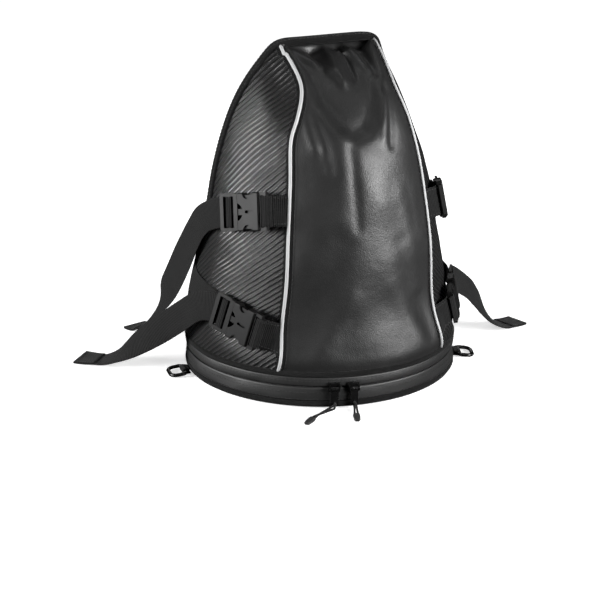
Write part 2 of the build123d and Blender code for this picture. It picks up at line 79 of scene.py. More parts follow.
# ======================================================================== sizes that repeat the CAD's
BASE_RADIUS, CORNER_RADIUS, ARC_END = 146.0, 70.0, radians(30)
CORNER_X = (BASE_RADIUS - CORNER_RADIUS) * cos(ARC_END)
CORNER_Y = (BASE_RADIUS - CORNER_RADIUS) * sin(ARC_END)
BACK_Y = CORNER_Y + CORNER_RADIUS
SHELL_BOTTOM, RIDGE = 38.5, 345.0
# height, the piping's distance from the middle at left and right, how far back the bound seam lies
SEAMS = (
    (38.5, 90.0, 90.0, 62.0),
    (75.0, 85.0, 81.0, 48.0),
    (110.0, 80.0, 77.5, 30.0),
    (165.0, 76.0, 75.0, 5.0),
    (220.0, 70.0, 70.0, -2.0),
    (262.0, 65.5, 61.5, -11.0),
    (282.0, 57.0, 57.0, -14.0),
    (305.0, 48.0, 50.0, -17.0),
    (318.0, 47.0, 48.5, -18.5),
    (345.0, 53.0, 47.5, -18.0),
)
PIPING = {-1: 1, 1: 2}
SEAM_Y = 3
# bearing from the front and height that each buckle's middle lies at, and its sign of X
BUCKLES = {
    "upper_left": (-1, 60.0, 189.0, 10.5),
    "lower_left": (-1, 60.0, 83.0, -13.5),
    "upper_right": (1, 60.0, 184.0, 8.0),
    "lower_right": (1, 60.0, 82.0, -13.5),
}
WEB_WIDTH, WEB_THICK, WEB_STAND = 30.0, 1.5, 0.4
BUCKLE_STAND = 7.0
LAYER_LOW, LAYER_MID, LAYER_TOP = -4.4, -2.4, 2.4
TAIL_STARTS, TAIL_LEAVES = -17.7, -27.0
STRAP_LANDS = 46.0
# the free strap ends: place, then the way the webbing faces
TAIL_UPPER = (
    ((-134, -12, 174), (-1.0, -0.2, 0.0)),
    ((-138, 12, 148), (-1.0, -0.3, 0.0)),
    ((-141, 38, 118), (-0.9, -0.4, 0.0)),
    ((-144, 66, 86), (-0.9, -0.4, 0.0)),
    ((-148, 95, 56), (-0.8, -0.5, 0.2)),
    ((-150, 122, 31), (-0.5, -0.5, 0.6)),
    ((-155, 138, 13), (-0.3, -0.4, 0.9)),
    ((-159, 151, 3), (-0.1, -0.2, 1.0)),
    ((-164, 165, 2.3), (0.0, 0.0, 1.0)),
)
TAIL_LOWER = (
    ((-146, -26, 86), (-0.9, -0.4, 0.1)),
    ((-156, -1, 67), (-0.8, -0.6, 0.1)),
    ((-168, 19, 50), (-0.7, -0.7, 0.2)),
    ((-183, 35, 35), (-0.5, -0.7, 0.5)),
    ((-200, 49, 19), (-0.3, -0.5, 0.8)),
    ((-216, 61, 6), (-0.1, -0.2, 1.0)),
    ((-231, 71, 2.3), (0.0, 0.0, 1.0)),
    ((-246, 85, 2.6), (0.0, -0.1, 1.0)),
)
TAIL_LOWER_RIGHT = (
    ((158, -30, 74), (0.9, -0.4, 0.1)),
    ((175, -21, 60), (0.8, -0.6, 0.2)),
    ((191, -12, 41), (0.7, -0.6, 0.4)),
    ((206, -4, 22), (0.4, -0.5, 0.8)),
    ((222, 3, 7), (0.2, -0.2, 1.0)),
    ((240, 9, 2.3), (0.0, 0.0, 1.0)),
    ((257, 14, 2.3), (0.0, 0.0, 1.0)),
)


def seam_at(height, column):
    """A seam's place at a height, on the smooth line through the CAD's sections."""
    last = len(SEAMS) - 2
    n = min(last, next((i for i, row in enumerate(SEAMS[1:]) if height <= row[0]), last))
    low, high = SEAMS[n], SEAMS[n + 1]
    share = min(max((height - low[0]) / (high[0] - low[0]), 0), 1)
    before = SEAMS[max(n - 1, 0)]
    after = SEAMS[min(n + 2, len(SEAMS) - 1)]
    span = high[0] - low[0]
    slope_low = (high[column] - before[column]) / max(high[0] - before[0], 1) * span
    slope_high = (after[column] - low[column]) / max(after[0] - low[0], 1) * span
    a, b = low[column], high[column]
    t2, t3 = share**2, share**3
    return (
        (2 * t3 - 3 * t2 + 1) * a
        + (t3 - 2 * t2 + share) * slope_low
        + (3 * t2 - 2 * t3) * b
        + (t3 - t2) * slope_high
    )


# ======================================================================== finding the CAD's surfaces
def tree_of(*names):
    """The CAD nodes' faces, ready to be hit by rays."""
    points, faces = [], []
    for name in names:
        mesh = nodes[name].data
        base = len(points)
        points += [v.co.copy() for v in mesh.vertices]
        faces += [[base + i for i in p.vertices] for p in mesh.polygons]
    return BVHTree.FromPolygons(points, faces)


SHELL_NAMES = ("front_panel", "side_panel_left", "side_panel_right", "back_panel")
shell_tree = tree_of(*SHELL_NAMES)
REACH = 400.0


def hit(origin, direction):
    """Where a ray from well outside first meets the shell, in millimetres, and the way it faces."""
    way = Vector(direction).normalized()
    place, normal, _, _ = shell_tree.ray_cast(Vector(origin) * MM, way)
    if place is None:
        return None
    if normal.dot(way) > 0:
        normal = -normal
    return rounded(place / MM), normal


CORNER_ROUND = 22.0
CORNER_TURN = radians(49.1)  # how much the ridge's outline turns at its ends
CORNER_AT = (57.0, 345.0)


def rounded(p):
    """Pulls a point under the soft corner at either end of the ridge."""
    inner = CORNER_ROUND * tan(CORNER_TURN / 2)
    centre_x, centre_z = CORNER_AT[0] - inner, CORNER_AT[1] - CORNER_ROUND
    along, up = abs(p.x) - centre_x, p.z - centre_z
    far = hypot(along, up)
    if along <= 0 or up <= 0 or far <= CORNER_ROUND:
        return p
    if along / far > sin(CORNER_TURN):
        return p
    scale = CORNER_ROUND / far
    side = 1 if p.x > 0 else -1
    return Vector((side * (centre_x + along * scale), p.y, centre_z + up * scale))


def outward_at(bearing):
    """The level direction out of the bag at a bearing in degrees from its front."""
    return Vector((sin(radians(bearing)), -cos(radians(bearing)), 0))


def middle_y(height):
    """The middle of the shell from front to back, at a height."""
    front = hit((0, -REACH, height), (0, 1, 0))
    back = hit((0, REACH, height), (0, -1, 0))
    return (front[0].y + back[0].y) / 2


# ======================================================================== mesh makers
def piece(name, points, faces, finish, body=None, smooth=True, uvs=None):
    """A mesh object from points in millimetres, riding on a body."""
    mesh = bpy.data.meshes.new(name)
    mesh.from_pydata([Vector(p) * MM for p in points], [], faces)
    mesh.update()
    if uvs is not None:
        layer = mesh.uv_layers.new(name="cloth")
        for loop in mesh.loops:
            layer.data[loop.index].uv = uvs[loop.vertex_index]
    if smooth:
        mesh.polygons.foreach_set("use_smooth", [True] * len(mesh.polygons))
    made = bpy.data.objects.new(name, mesh)
    scene.collection.objects.link(made)
    for one in finish if isinstance(finish, (list, tuple)) else [finish]:
        mesh.materials.append(one)
    if body:
        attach(made, body)
    return made


def lengths(points):
    """Distance along a row of points, in metres, from its first."""
    total, out = 0.0, [0.0]
    for a, b in zip(points, points[1:]):
        total += (Vector(b) - Vector(a)).length * MM
        out.append(total)
    return out


def grid(name, rows, finish, body=None, closed=False):
    """A sheet through rows of points. Its UV map is in metres both ways."""
    count = len(rows[0])
    points = [p for row in rows for p in row]
    faces = []
    for r in range(len(rows) - 1):
        for c in range(count if closed else count - 1):
            d = (c + 1) % count
            a, b = r * count, (r + 1) * count
            faces.append((a + c, a + d, b + d, b + c))
    across = lengths(rows[len(rows) // 2])
    middle = count // 2
    up = lengths([row[middle] for row in rows])
    uvs = []
    for r, row in enumerate(rows):
        here = lengths(row)
        shift = across[middle] - here[middle]
        uvs += [(here[c] + shift, up[r]) for c in range(count)]
    return piece(name, points, faces, finish, body, uvs=uvs)


def frames(path, faces):
    """At each point of a path: the ways along it, across it and out of it."""
    out = []
    for n, face in enumerate(faces):
        along = (Vector(path[min(n + 1, len(path) - 1)]) - Vector(path[max(n - 1, 0)])).normalized()
        side = along.cross(Vector(face)).normalized()
        out.append((along, side, side.cross(along).normalized()))
    return out


def tube_faces(rings, count, base=0, loop=False):
    """The quads between rings of points that follow each other."""
    out = []
    for r in range(rings if loop else rings - 1):
        near, far = base + r * count, base + (r + 1) % rings * count
        for c in range(count):
            d = (c + 1) % count
            out.append((near + c, near + d, far + d, far + c))
    return out


def end_faces(rings, count, base=0):
    """A face over either end of a tube."""
    last = base + (rings - 1) * count
    return [tuple(base + c for c in reversed(range(count))), tuple(last + c for c in range(count))]


def sweep(name, path, faces, profile, finish, body=None, caps=True, scale=None):
    """A profile of (across, up) points carried along a path that faces the given ways."""
    points = []
    count = len(profile)
    for n, (along, side, up) in enumerate(frames(path, faces)):
        size = scale(n / (len(path) - 1)) if scale else 1.0
        points += [Vector(path[n]) + side * a * size + up * u * size for a, u in profile]
    rings = len(path)
    polygons = tube_faces(rings, count)
    if caps:
        polygons += end_faces(rings, count)
    girth = lengths([Vector((a, u, 0)) for a, u in profile])
    run = lengths(path)
    uvs = [(girth[c], run[r]) for r in range(rings) for c in range(count)]
    return piece(name, points, polygons, finish, body, uvs=uvs)


def stadium(width, thick, sides=4):
    """A flat strap's section with round edges, lying on its own middle."""
    radius = thick / 2
    out = []
    for sign, start in ((1, -pi / 2), (-1, pi / 2)):
        for n in range(sides + 1):
            turn = start + pi * n / sides
            out.append((sign * (width / 2 - radius) + radius * cos(turn), radius * sin(turn)))
    inside = [(x, -radius) for x in (-width / 4, 0, width / 4)]
    over = [(x, radius) for x in (width / 4, 0, -width / 4)]
    return inside + out[: sides + 1] + over + out[sides + 1 :]


def resample(points, step):
    """The same line with even spacing, and the share of the old index at each new point."""
    run = lengths(points)
    total = run[-1] / MM
    count = max(2, int(round(total / step)) + 1)
    out, at = [], []
    n = 0
    for i in range(count):
        want = total * i / (count - 1) * MM
        while n < len(run) - 2 and run[n + 1] < want:
            n += 1
        share = (want - run[n]) / max(run[n + 1] - run[n], 1e-12)
        out.append(Vector(points[n]).lerp(Vector(points[n + 1]), share))
        at.append(n + share)
    return out, at


def relaxed(line, times):
    """The line with its corners eased, its ends left where they are."""
    for _ in range(times):
        inner = [(a + b * 2 + c) / 4 for a, b, c in zip(line, line[1:], line[2:])]
        line = [line[0], *inner, line[-1]]
    return line


def eased_ways(ways, times):
    """Facing directions along a line, evened out."""
    for _ in range(times):
        ways = [w.normalized() for w in relaxed(ways, 1)]
    return ways


def mixed(values, at):
    """A vector from a list, at a fractional index."""
    n = min(int(floor(at)), len(values) - 2)
    return Vector(values[n]).lerp(Vector(values[n + 1]), at - n)


# along a stitch, from end to end: where a ring lies, its size and its rise
STITCH_RINGS = (
    (-0.5, 0.35, -0.35),
    (-0.32, 0.9, 0.1),
    (0.0, 1.0, 0.25),
    (0.32, 0.9, 0.1),
    (0.5, 0.35, -0.35),
)


def stitches(name, points, facings, body, finish, stitch=3.0, gap=1.1, radius=0.32, lift=0.12):
    """A row of thread: a small capsule for each stitch, sunk at both ends."""
    line, at = resample(points, stitch + gap)
    made_points, made_faces = [], []
    sides = 6
    for n in range(len(line) - 1):
        a, b = line[n], line[n + 1]
        along = (b - a).normalized()
        face = mixed(facings, (at[n] + at[n + 1]) / 2).normalized()
        side = along.cross(face).normalized()
        up = side.cross(along)
        middle = (a + b) / 2 + up * lift
        base = len(made_points)
        for where, size, rise in STITCH_RINGS:
            for k in range(sides):
                turn = 2 * pi * k / sides
                made_points.append(
                    middle
                    + along * where * stitch
                    + side * cos(turn) * radius * size
                    + up * (sin(turn) * radius * size + rise * radius)
                )
        made_faces += tube_faces(len(STITCH_RINGS), sides, base)
        made_faces += end_faces(len(STITCH_RINGS), sides, base)
    return piece(name, made_points, made_faces, finish, body)


# ======================================================================== finishes
def link(tree, a, b):
    tree.links.new(a, b)


def add_node(tree, kind, values=(), **settings):
    """A shader node with its settings and some of its inputs filled in."""
    made = tree.nodes.new(kind)
    for key, value in settings.items():
        setattr(made, key, value)
    for key, value in dict(values).items():
        if hasattr(value, "node"):
            link(tree, value, made.inputs[key])
        else:
            made.inputs[key].default_value = value
    return made


def maths(tree, operation, a, b=None):
    """One sum on one or two values."""
    values = {0: a} if b is None else {0: a, 1: b}
    return add_node(tree, "ShaderNodeMath", values, operation=operation).outputs[0]


def place_of(tree, uv):
    """Where a point is: on its cloth's own map, or in the frame."""
    if uv:
        return add_node(tree, "ShaderNodeUVMap", uv_map="cloth").outputs[0]
    return add_node(tree, "ShaderNodeTexCoord").outputs["Object"]


def parts_of(tree, vector):
    """The X, Y and Z of a place."""
    return add_node(tree, "ShaderNodeSeparateXYZ", {0: vector}).outputs


def wave(tree, value, pitch):
    """A sine from 0 to 1 that repeats at a pitch in metres."""
    turned = maths(tree, "MULTIPLY", value, 2 * pi / pitch)
    return maths(tree, "MULTIPLY_ADD", maths(tree, "SINE", turned), 0.5)


def finish(name, slot, colour, roughness, metallic=0.0, specular=0.5, sheen=0.0, coat=0.0):
    """A material with plain values on the shader's own sockets."""
    made = bpy.data.materials.new(name)
    made.use_nodes = True
    tree = made.node_tree
    shader = tree.nodes["Principled BSDF"]
    shader.inputs["Base Color"].default_value = (*colour, 1.0)
    shader.inputs["Roughness"].default_value = roughness
    shader.inputs["Metallic"].default_value = metallic
    shader.inputs["Specular IOR Level"].default_value = specular
    shader.inputs["Sheen Weight"].default_value = sheen
    shader.inputs["Sheen Roughness"].default_value = 0.5
    shader.inputs["Coat Weight"].default_value = coat
    shader.inputs["Coat Roughness"].default_value = 0.18
    made["slot"] = slot
    return made, tree, shader


def vary(tree, shader, place, low, high, size, roughness=None):
    """Lets the colour drift between two tones over a size in metres, and the roughness with it."""
    cloud = add_node(
        tree, "ShaderNodeTexNoise", {"Vector": place, "Scale": 1 / size, "Detail": 3.0}
    ).outputs["Fac"]
    ramp = add_node(tree, "ShaderNodeMix", {"Factor": cloud}, data_type="RGBA")
    ramp.inputs["A"].default_value = (*low, 1.0)
    ramp.inputs["B"].default_value = (*high, 1.0)
    link(tree, ramp.outputs["Result"], shader.inputs["Base Color"])
    if roughness:
        spread = add_node(
            tree,
            "ShaderNodeMapRange",
            {"Value": cloud, "To Min": roughness[0], "To Max": roughness[1]},
        ).outputs[0]
        link(tree, spread, shader.inputs["Roughness"])


def relief(tree, shader, heights):
    """Stacks bumps: pairs of a height from 0 to 1 and its depth in metres."""
    normal = None
    for height, depth in heights:
        bump = add_node(
            tree, "ShaderNodeBump", {"Height": height, "Strength": 1.0, "Distance": depth}
        )
        if normal:
            link(tree, normal, bump.inputs["Normal"])
        normal = bump.outputs["Normal"]
    link(tree, normal, shader.inputs["Normal"])


def cells(tree, place, size):
    """A pebbled grain: high in the middle of each cell."""
    found = add_node(
        tree, "ShaderNodeTexVoronoi", {"Vector": place, "Scale": 1 / size}, feature="F1"
    )
    return maths(tree, "SUBTRACT", 1.0, found.outputs["Distance"])


def clouds(tree, place, size, detail=4.0):
    """Soft noise over a size in metres."""
    return add_node(
        tree, "ShaderNodeTexNoise", {"Vector": place, "Scale": 1 / size, "Detail": detail}
    ).outputs["Fac"]


def leatherette(name, slot, tone, gloss):
    """Coated cloth with a fine pebbled grain."""
    made, tree, shader = finish(name, slot, tone, gloss, specular=0.5)
    place = place_of(tree, False)
    light = tuple(c * 1.5 for c in tone)
    vary(tree, shader, place, tone, light, 0.03, (gloss - 0.05, gloss + 0.08))
    relief(
        tree,
        shader,
        [(clouds(tree, place, 0.016, 2.0), 0.0005), (cells(tree, place, 0.0011), 0.00012)],
    )
    return made


def carbon_cloth():
    """Glossy coated cloth, pressed with diagonal ribs that are broken up like a twill."""
    made, tree, shader = finish("carbon_leatherette", "carbon_leatherette", (0.022,) * 3, 0.3)
    place = place_of(tree, True)
    x, y, _ = parts_of(tree, place)
    wander = maths(tree, "MULTIPLY", clouds(tree, place, 0.02, 2.0), 0.0022)
    rise = maths(tree, "MULTIPLY", y, RIB_UP)
    slant = maths(tree, "SUBTRACT", maths(tree, "MULTIPLY", x, RIB_ACROSS), rise)
    slant = maths(tree, "ADD", slant, wander)
    climb = maths(tree, "MULTIPLY", y, RIB_ACROSS)
    along = maths(tree, "ADD", maths(tree, "MULTIPLY", x, RIB_UP), climb)
    ribs = wave(tree, slant, RIB_PITCH)
    fine = wave(tree, slant, RIB_PITCH / 3)
    steps = wave(tree, along, 0.0009)
    vary(tree, shader, place, (0.01,) * 3, (0.018,) * 3, 0.03)
    worn = add_node(
        tree, "ShaderNodeMapRange", {"Value": ribs, "To Min": 0.4, "To Max": 0.2}
    ).outputs[0]
    link(tree, worn, shader.inputs["Roughness"])
    relief(
        tree,
        shader,
        [
            (clouds(tree, place, 0.016), 0.0012),
            (maths(tree, "POWER", ribs, 1.6), 0.0013),
            (fine, 0.00022),
            (steps, 0.00006),
        ],
    )
    return made


RIB_PITCH = 0.0052
RIB_ACROSS, RIB_UP = sin(radians(44)), cos(radians(44))


def woven(name, slot, tone, ribs, gloss=0.62, sheen=0.25, mapped=True):
    """Flat woven tape: ribs across it and yarns along it, on its own map or round the base."""
    made, tree, shader = finish(name, slot, tone, gloss, specular=0.14, sheen=sheen)
    place = place_of(tree, mapped)
    x, y, z = parts_of(tree, place)
    if not mapped:
        turn = maths(tree, "ARCTAN2", y, x)
        x, y = z, maths(tree, "MULTIPLY", turn, BASE_RADIUS * MM)
    over = wave(tree, y, ribs)
    yarn = wave(tree, maths(tree, "ADD", x, maths(tree, "MULTIPLY", over, 0.0002)), ribs * 0.75)
    weave = maths(tree, "MULTIPLY", over, maths(tree, "MULTIPLY_ADD", yarn, 0.6))
    vary(tree, shader, place, tone, tuple(c * 1.7 for c in tone), 0.012)
    slack = clouds(tree, place, 0.02)
    relief(tree, shader, [(slack, 0.0006), (over, 0.00028), (yarn, 0.00016), (weave, 0.0001)])
    return made


black_skin = leatherette("black_leatherette", "black_leatherette", (0.009,) * 3, 0.45)
band_skin = leatherette("band_leatherette", "black_leatherette", (0.011,) * 3, 0.5)
carbon_skin = carbon_cloth()
web = woven("webbing", "webbing", (0.0045,) * 3, 0.0019, 0.7, 0.06)
tape = woven("binding_tape", "binding_tape", (0.004,) * 3, 0.0011, 0.8, 0.04)
braid = woven("cord_braid", "pull_cord", (0.008,) * 3, 0.0009, 0.6, 0.1)
zip_cloth = woven("zip_nylon", "zip_nylon", (0.008,) * 3, 0.0015, 0.5, 0.1, mapped=False)
base_cloth = woven("base_fabric", "base_fabric", (0.015,) * 3, 0.0016, 0.8, 0.15, mapped=False)


def grained(name, slot, tones, drift, gloss, grain, size, depth, **more):
    """A plain finish: tones that drift over a size in metres, and a grain of cells or clouds."""
    low, high = tones
    made, tree, shader = finish(name, slot, low, gloss, **more)
    place = place_of(tree, False)
    if drift:
        vary(tree, shader, place, low, high, *drift)
    relief(tree, shader, [(grain(tree, place, size), depth)])
    return made


def soft_clouds(tree, place, size):
    """Clouds with little detail."""
    return clouds(tree, place, size, 2.0)


def grey(tone):
    return (tone,) * 3


lining = grained("lining", "board", (grey(0.03), None), None, 0.75, cells, 0.0016, 0.0002, sheen=0.2)
shine = grained(
    "reflective_trim",
    "reflective_trim",
    ((0.36, 0.365, 0.37), grey(0.46)),
    (0.02,),
    0.5,
    cells,
    0.0007,
    0.00006,
)
thread = grained(
    "thread", "pull_cord", (grey(0.012), None), None, 0.6, clouds, 0.0006, 0.0001, sheen=0.1
)
moulded = grained(
    "buckle_plastic",
    "buckle_plastic",
    (grey(0.005), grey(0.008)),
    (0.02, (0.34, 0.46)),
    0.4,
    soft_clouds,
    0.0008,
    0.00005,
    specular=0.1,
)
metal = grained(
    "black_metal",
    "black_metal",
    (grey(0.02), grey(0.05)),
    (0.004, (0.16, 0.34)),
    0.22,
    clouds,
    0.001,
    0.00003,
    metallic=0.9,
)
rubber = grained(
    "grip_rubber", "grip_rubber", (grey(0.014), None), None, 0.55, clouds, 0.0007, 0.00005
)
mat = grained(
    "antislip_rubber", "antislip_rubber", (grey(0.02), None), None, 0.7, cells, 0.004, 0.0008
)
board = grained("board", "board", (grey(0.035), grey(0.055)), (0.01,), 0.7, clouds, 0.002, 0.0001)
pad_cloth = grained(
    "pad_mesh", "pad_mesh", (grey(0.012), grey(0.03)), (0.004,), 0.75, cells, 0.0026, 0.0009, sheen=0.3
)


def dress(name, made):
    """Gives a CAD node its finish."""
    mesh = nodes[name].data
    mesh.materials.clear()
    mesh.materials.append(made)


# ======================================================================== cords: the free strap ends
def free_end(side):
    """One strap's free end: flat webbing along a smooth line, with a folded hem."""
    route = {"upper_left": TAIL_UPPER, "lower_left": TAIL_LOWER, "lower_right": TAIL_LOWER_RIGHT}
    stations = route.get(side) or [((-p[0], p[1], p[2]), (-f[0], f[1], f[2])) for p, f in TAIL_UPPER]
    local = buckle_axes(side)
    out = local.to_3x3() @ Vector((0, 0, 1))
    first = [(local @ Vector((x, 0, LAYER_MID)), out) for x in (TAIL_STARTS, TAIL_LEAVES)]
    stations = first + [(Vector(p), Vector(f)) for p, f in stations]
    curve = bpy.data.curves.new(f"route_{side}", "CURVE")
    curve.dimensions = "3D"
    curve.resolution_u = 12
    spline = curve.splines.new("NURBS")
    spline.points.add(len(stations) - 1)
    for point, (place, _) in zip(spline.points, stations):
        point.co = (*(place * MM), 1.0)
    spline.order_u = 3
    spline.use_endpoint_u = True
    holder = bpy.data.objects.new(f"route_{side}", curve)
    scene.collection.objects.link(holder)
    bpy.context.view_layer.update()
    line_mesh = bpy.data.meshes.new_from_object(holder)
    line = [v.co / MM for v in line_mesh.vertices]
    bpy.data.objects.remove(holder)
    bpy.data.meshes.remove(line_mesh)
    line, _ = resample(line, 3.0)
    ways = []
    for n in range(len(line)):
        at = n / (len(line) - 1) * (len(stations) - 1)
        ways.append(mixed([f.normalized() for _, f in stations], at).normalized())
    hem = 26.0
    run = [s / MM for s in lengths(line)]
    profile = stadium(WEB_WIDTH, WEB_THICK)
    ribbon = sweep(f"tail_web_{side}", line, ways, profile, web, f"buckle_{side}")
    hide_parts(f"strap_tail_{side}")
    end_rows = [n for n, s in enumerate(run) if s > run[-1] - hem]
    set_up = frames(line, ways)
    fold = sweep(
        f"tail_hem_{side}",
        [line[n] + set_up[n][2] * WEB_THICK * 0.85 for n in end_rows],
        [ways[n] for n in end_rows],
        stadium(WEB_WIDTH - 0.4, WEB_THICK * 0.8),
        web,
        f"buckle_{side}",
    )

    def on_hem(n, share):
        _, aside, up = set_up[n]
        return line[n] + up * WEB_THICK * 1.3 + aside * share * WEB_WIDTH

    rows = [[on_hem(n, share) for n in end_rows] for share in (-0.44, 0.44)]
    rows += [[on_hem(n, share) for share in (-0.42, 0, 0.42)] for n in (end_rows[1], end_rows[-2])]
    for k, row in enumerate(rows):
        facing = [set_up[end_rows[0]][2]] * len(row) if k > 1 else [set_up[n][2] for n in end_rows]
        stitches(f"tail_stitch_{side}_{k}", row, facing, f"buckle_{side}", thread, 2.4, 0.9, 0.26)


def buckle_axes(side):
    """The buckle's axes in millimetres: X to its front end, Y across it, Z away from the shell."""
    sign, bearing, height, rise = BUCKLES[side]
    way = outward_at(sign * bearing)
    place, outward = hit(way * REACH + Vector((0, 0, height)), -way)
    slide = next(j for j in frame["joints"] if j["name"] == f"buckle_{side}_release")
    forward = -Vector(slide["axis"]).normalized()
    outward = (outward - forward * outward.dot(forward)).normalized()
    across = outward.cross(forward)
    axes = Matrix((forward, across, outward)).transposed().to_4x4()
    axes.translation = place + outward * BUCKLE_STAND
    return axes


for side in BUCKLES:
    free_end(side)

# ======================================================================== panels
FRONT_FOLDS = (
    # from x, z to x, z across the front, half width and height: a fold stands out, a dent goes in
    (-40, 344, -12, 326, 4.5, 3.6),
    (-20, 344, -19, 330, 4, -2.6),
    (-6, 344, -6, 318, 5, 4.6),
    (6, 344, 8, 322, 4, -2.4),
    (16, 344, 26, 326, 5, 3.6),
    (30, 342, 34, 320, 4, -2.0),
    (37, 305, 29, 255, 4, -2.2),
    (29, 300, 20, 262, 5, 2.0),
    (-3, 240, 6, 205, 24, 3.4),
    (-15, 256, -14, 180, 4.5, -1.3),
    (-24, 262, -30, 190, 9, 1.2),
    (-56, 305, -46, 255, 5, 2.2),
    (-47, 292, -36, 235, 6, -1.8),
    (-72, 60, -30, 165, 14, -2.0),
    (-56, 52, -20, 110, 9, 1.2),
    (74, 58, 34, 160, 13, -2.0),
    (60, 52, 22, 120, 10, 1.4),
    (-30, 52, 34, 50, 12, -1.2),
    (34, 210, 56, 110, 8, 1.2),
)
SIDE_FOLDS = (
    # from y, z to y, z along a side, half width and height
    (-60, 150, -10, 120, 12, -1.6),
    (-80, 215, -20, 232, 12, -1.4),
    (-90, 130, -40, 160, 10, 1.2),
    (-70, 250, -30, 290, 14, -2.0),
    (-96, 60, -40, 52, 10, 1.0),
)


def fold_height(a, b, folds):
    """How far the cloth stands out at a place across a panel, from the folds near it."""
    total = 0.0
    for a0, b0, a1, b1, width, height in folds:
        along_a, along_b = a1 - a0, b1 - b0
        length = hypot(along_a, along_b)
        share = ((a - a0) * along_a + (b - b0) * along_b) / length**2
        over = max(-share, share - 1, 0) * length
        aside = abs((a - a0) * along_b - (b - b0) * along_a) / length
        total += height * exp(-((aside / width) ** 2) - (over / (width * 0.9)) ** 2)
    return total


def heights(low, high, step):
    count = int(round((high - low) / step))
    return [low + (high - low) * n / count for n in range(count + 1)]


UNDER_ROLL = 4.0  # how far each panel goes down behind the roll
TOP_PIVOT = 300.0


def cloth_up(made, push, thick, smoothing=2):
    """Smooths a panel, pushes each point out and gives the cloth its thickness and a lining."""
    mesh = made.data
    mesh.update()
    edge = {v for e in boundary_edges(mesh) for v in e}
    near = {v.index: [] for v in mesh.vertices}
    for e in mesh.edges:
        near[e.vertices[0]].append(e.vertices[1])
        near[e.vertices[1]].append(e.vertices[0])
    for _ in range(smoothing):
        moved = [
            sum((mesh.vertices[q].co for q in near[v.index]), Vector()) / len(near[v.index])
            for v in mesh.vertices
        ]
        for v in mesh.vertices:
            if v.index not in edge:
                v.co = v.co.lerp(moved[v.index], 0.5)
    mesh.update()
    normals = [v.normal.copy() for v in mesh.vertices]
    for v in mesh.vertices:
        v.co += normals[v.index] * push(v.co / MM) * MM
    mesh.materials.append(lining)
    solid = made.modifiers.new("cloth", "SOLIDIFY")
    solid.thickness = thick * MM
    solid.offset = -1.0
    solid.material_offset = 1


def boundary_edges(mesh):
    """The edges that only one face uses."""
    used = Counter(key for p in mesh.polygons for key in p.edge_keys)
    return [key for key, n in used.items() if n == 1]


def ease(share):
    """A smooth step from 0 to 1."""
    share = min(max(share, 0.0), 1.0)
    return share * share * (3 - 2 * share)


def puff(p, size=38.0, depth=1.0):
    """Low soft unevenness of stuffed or stiffened cloth."""
    return depth * noise.noise(Vector(p) / size)


def front_x(height, share):
    """A place across the front panel: share 0 at the left piping and 1 at the right."""
    left, right = seam_at(height, PIPING[-1]), seam_at(height, PIPING[1])
    return -left + (left + right) * share


front_rows = []
columns = 61
for height in heights(SHELL_BOTTOM - UNDER_ROLL, TOP_PIVOT, 3.4):
    row = []
    for c in range(columns):
        x = front_x(height, c / (columns - 1))
        place, _ = hit((x, -REACH, max(height, SHELL_BOTTOM + 0.4)), (0, 1, 0))
        row.append(Vector((x, place.y, height)))
    front_rows.append(row)
for n in range(1, 27):
    turn = pi / 2 * n / 26
    row = []
    for c in range(columns):
        x = front_x(TOP_PIVOT + 45 * sin(turn), c / (columns - 1))
        target = Vector((x, -13.0, TOP_PIVOT))
        way = Vector((0, -cos(turn), sin(turn)))
        place, _ = hit(target + way * REACH, -way)
        row.append(place)
    front_rows.append(row)
front_cloth = grid("front_cloth", front_rows, black_skin, "shell")
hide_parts("front_panel")


def front_push(p):
    """The front's folds fade out at its piping, under the top binding and at the roll."""
    half = seam_at(p.z, PIPING[1 if p.x > 0 else -1])
    rim = ease((half - abs(p.x)) / 14) * ease((p.z - SHELL_BOTTOM) / 22)
    top = ease((-16 - p.y) / 9)
    return rim * top * (fold_height(p.x, p.z, FRONT_FOLDS) + hollow(p) + puff(p, 34, 1.0)) - 0.15


# the dent that hangs from the ridge: points down its left side, its tip and up its right side
DENT = (
    (-50, 342),
    (-47, 320),
    (-38, 295),
    (-24, 274),
    (-9, 263),
    (6, 268),
    (19, 285),
    (30, 312),
    (40, 342),
)
DENT_DEPTH, DENT_SLOPE = 9.0, 18.0


def hollow(p):
    """The wide dent below the ridge, which ends in a round tip."""
    inside = -1
    nearest = 1e9
    for (x0, z0), (x1, z1) in zip(DENT, DENT[1:]):
        along = Vector((x1 - x0, z1 - z0))
        away = Vector((p.x - x0, p.z - z0))
        share = min(max(away.dot(along) / along.length_squared, 0), 1)
        nearest = min(nearest, (away - along * share).length)
        if (x0 <= p.x < x1) and p.z > z0 + (z1 - z0) * (p.x - x0) / (x1 - x0):
            inside = 1
    return -DENT_DEPTH * ease((inside * nearest + 8.0) / DENT_SLOPE)


cloth_up(front_cloth, front_push, 1.8)


def side_point(sign, height, share):
    """A place on a side panel: share 0 on the piping and 1 on the rear seam."""
    middle = Vector((0, centre_y[height], height))
    edges = []
    for column in (PIPING[sign], SEAM_Y):
        if column != SEAM_Y:
            place, _ = hit((sign * seam_at(height, column), -REACH, height), (0, 1, 0))
        else:
            place, _ = hit((sign * REACH, seam_at(height, column), height), (-sign, 0, 0))
        edges.append((place - middle).xy)
    a, b = edges
    way = a.normalized().slerp(b.normalized(), share)
    way = Vector((way.x, way.y, 0))
    place, _ = hit(middle + way * REACH, -way)
    return place


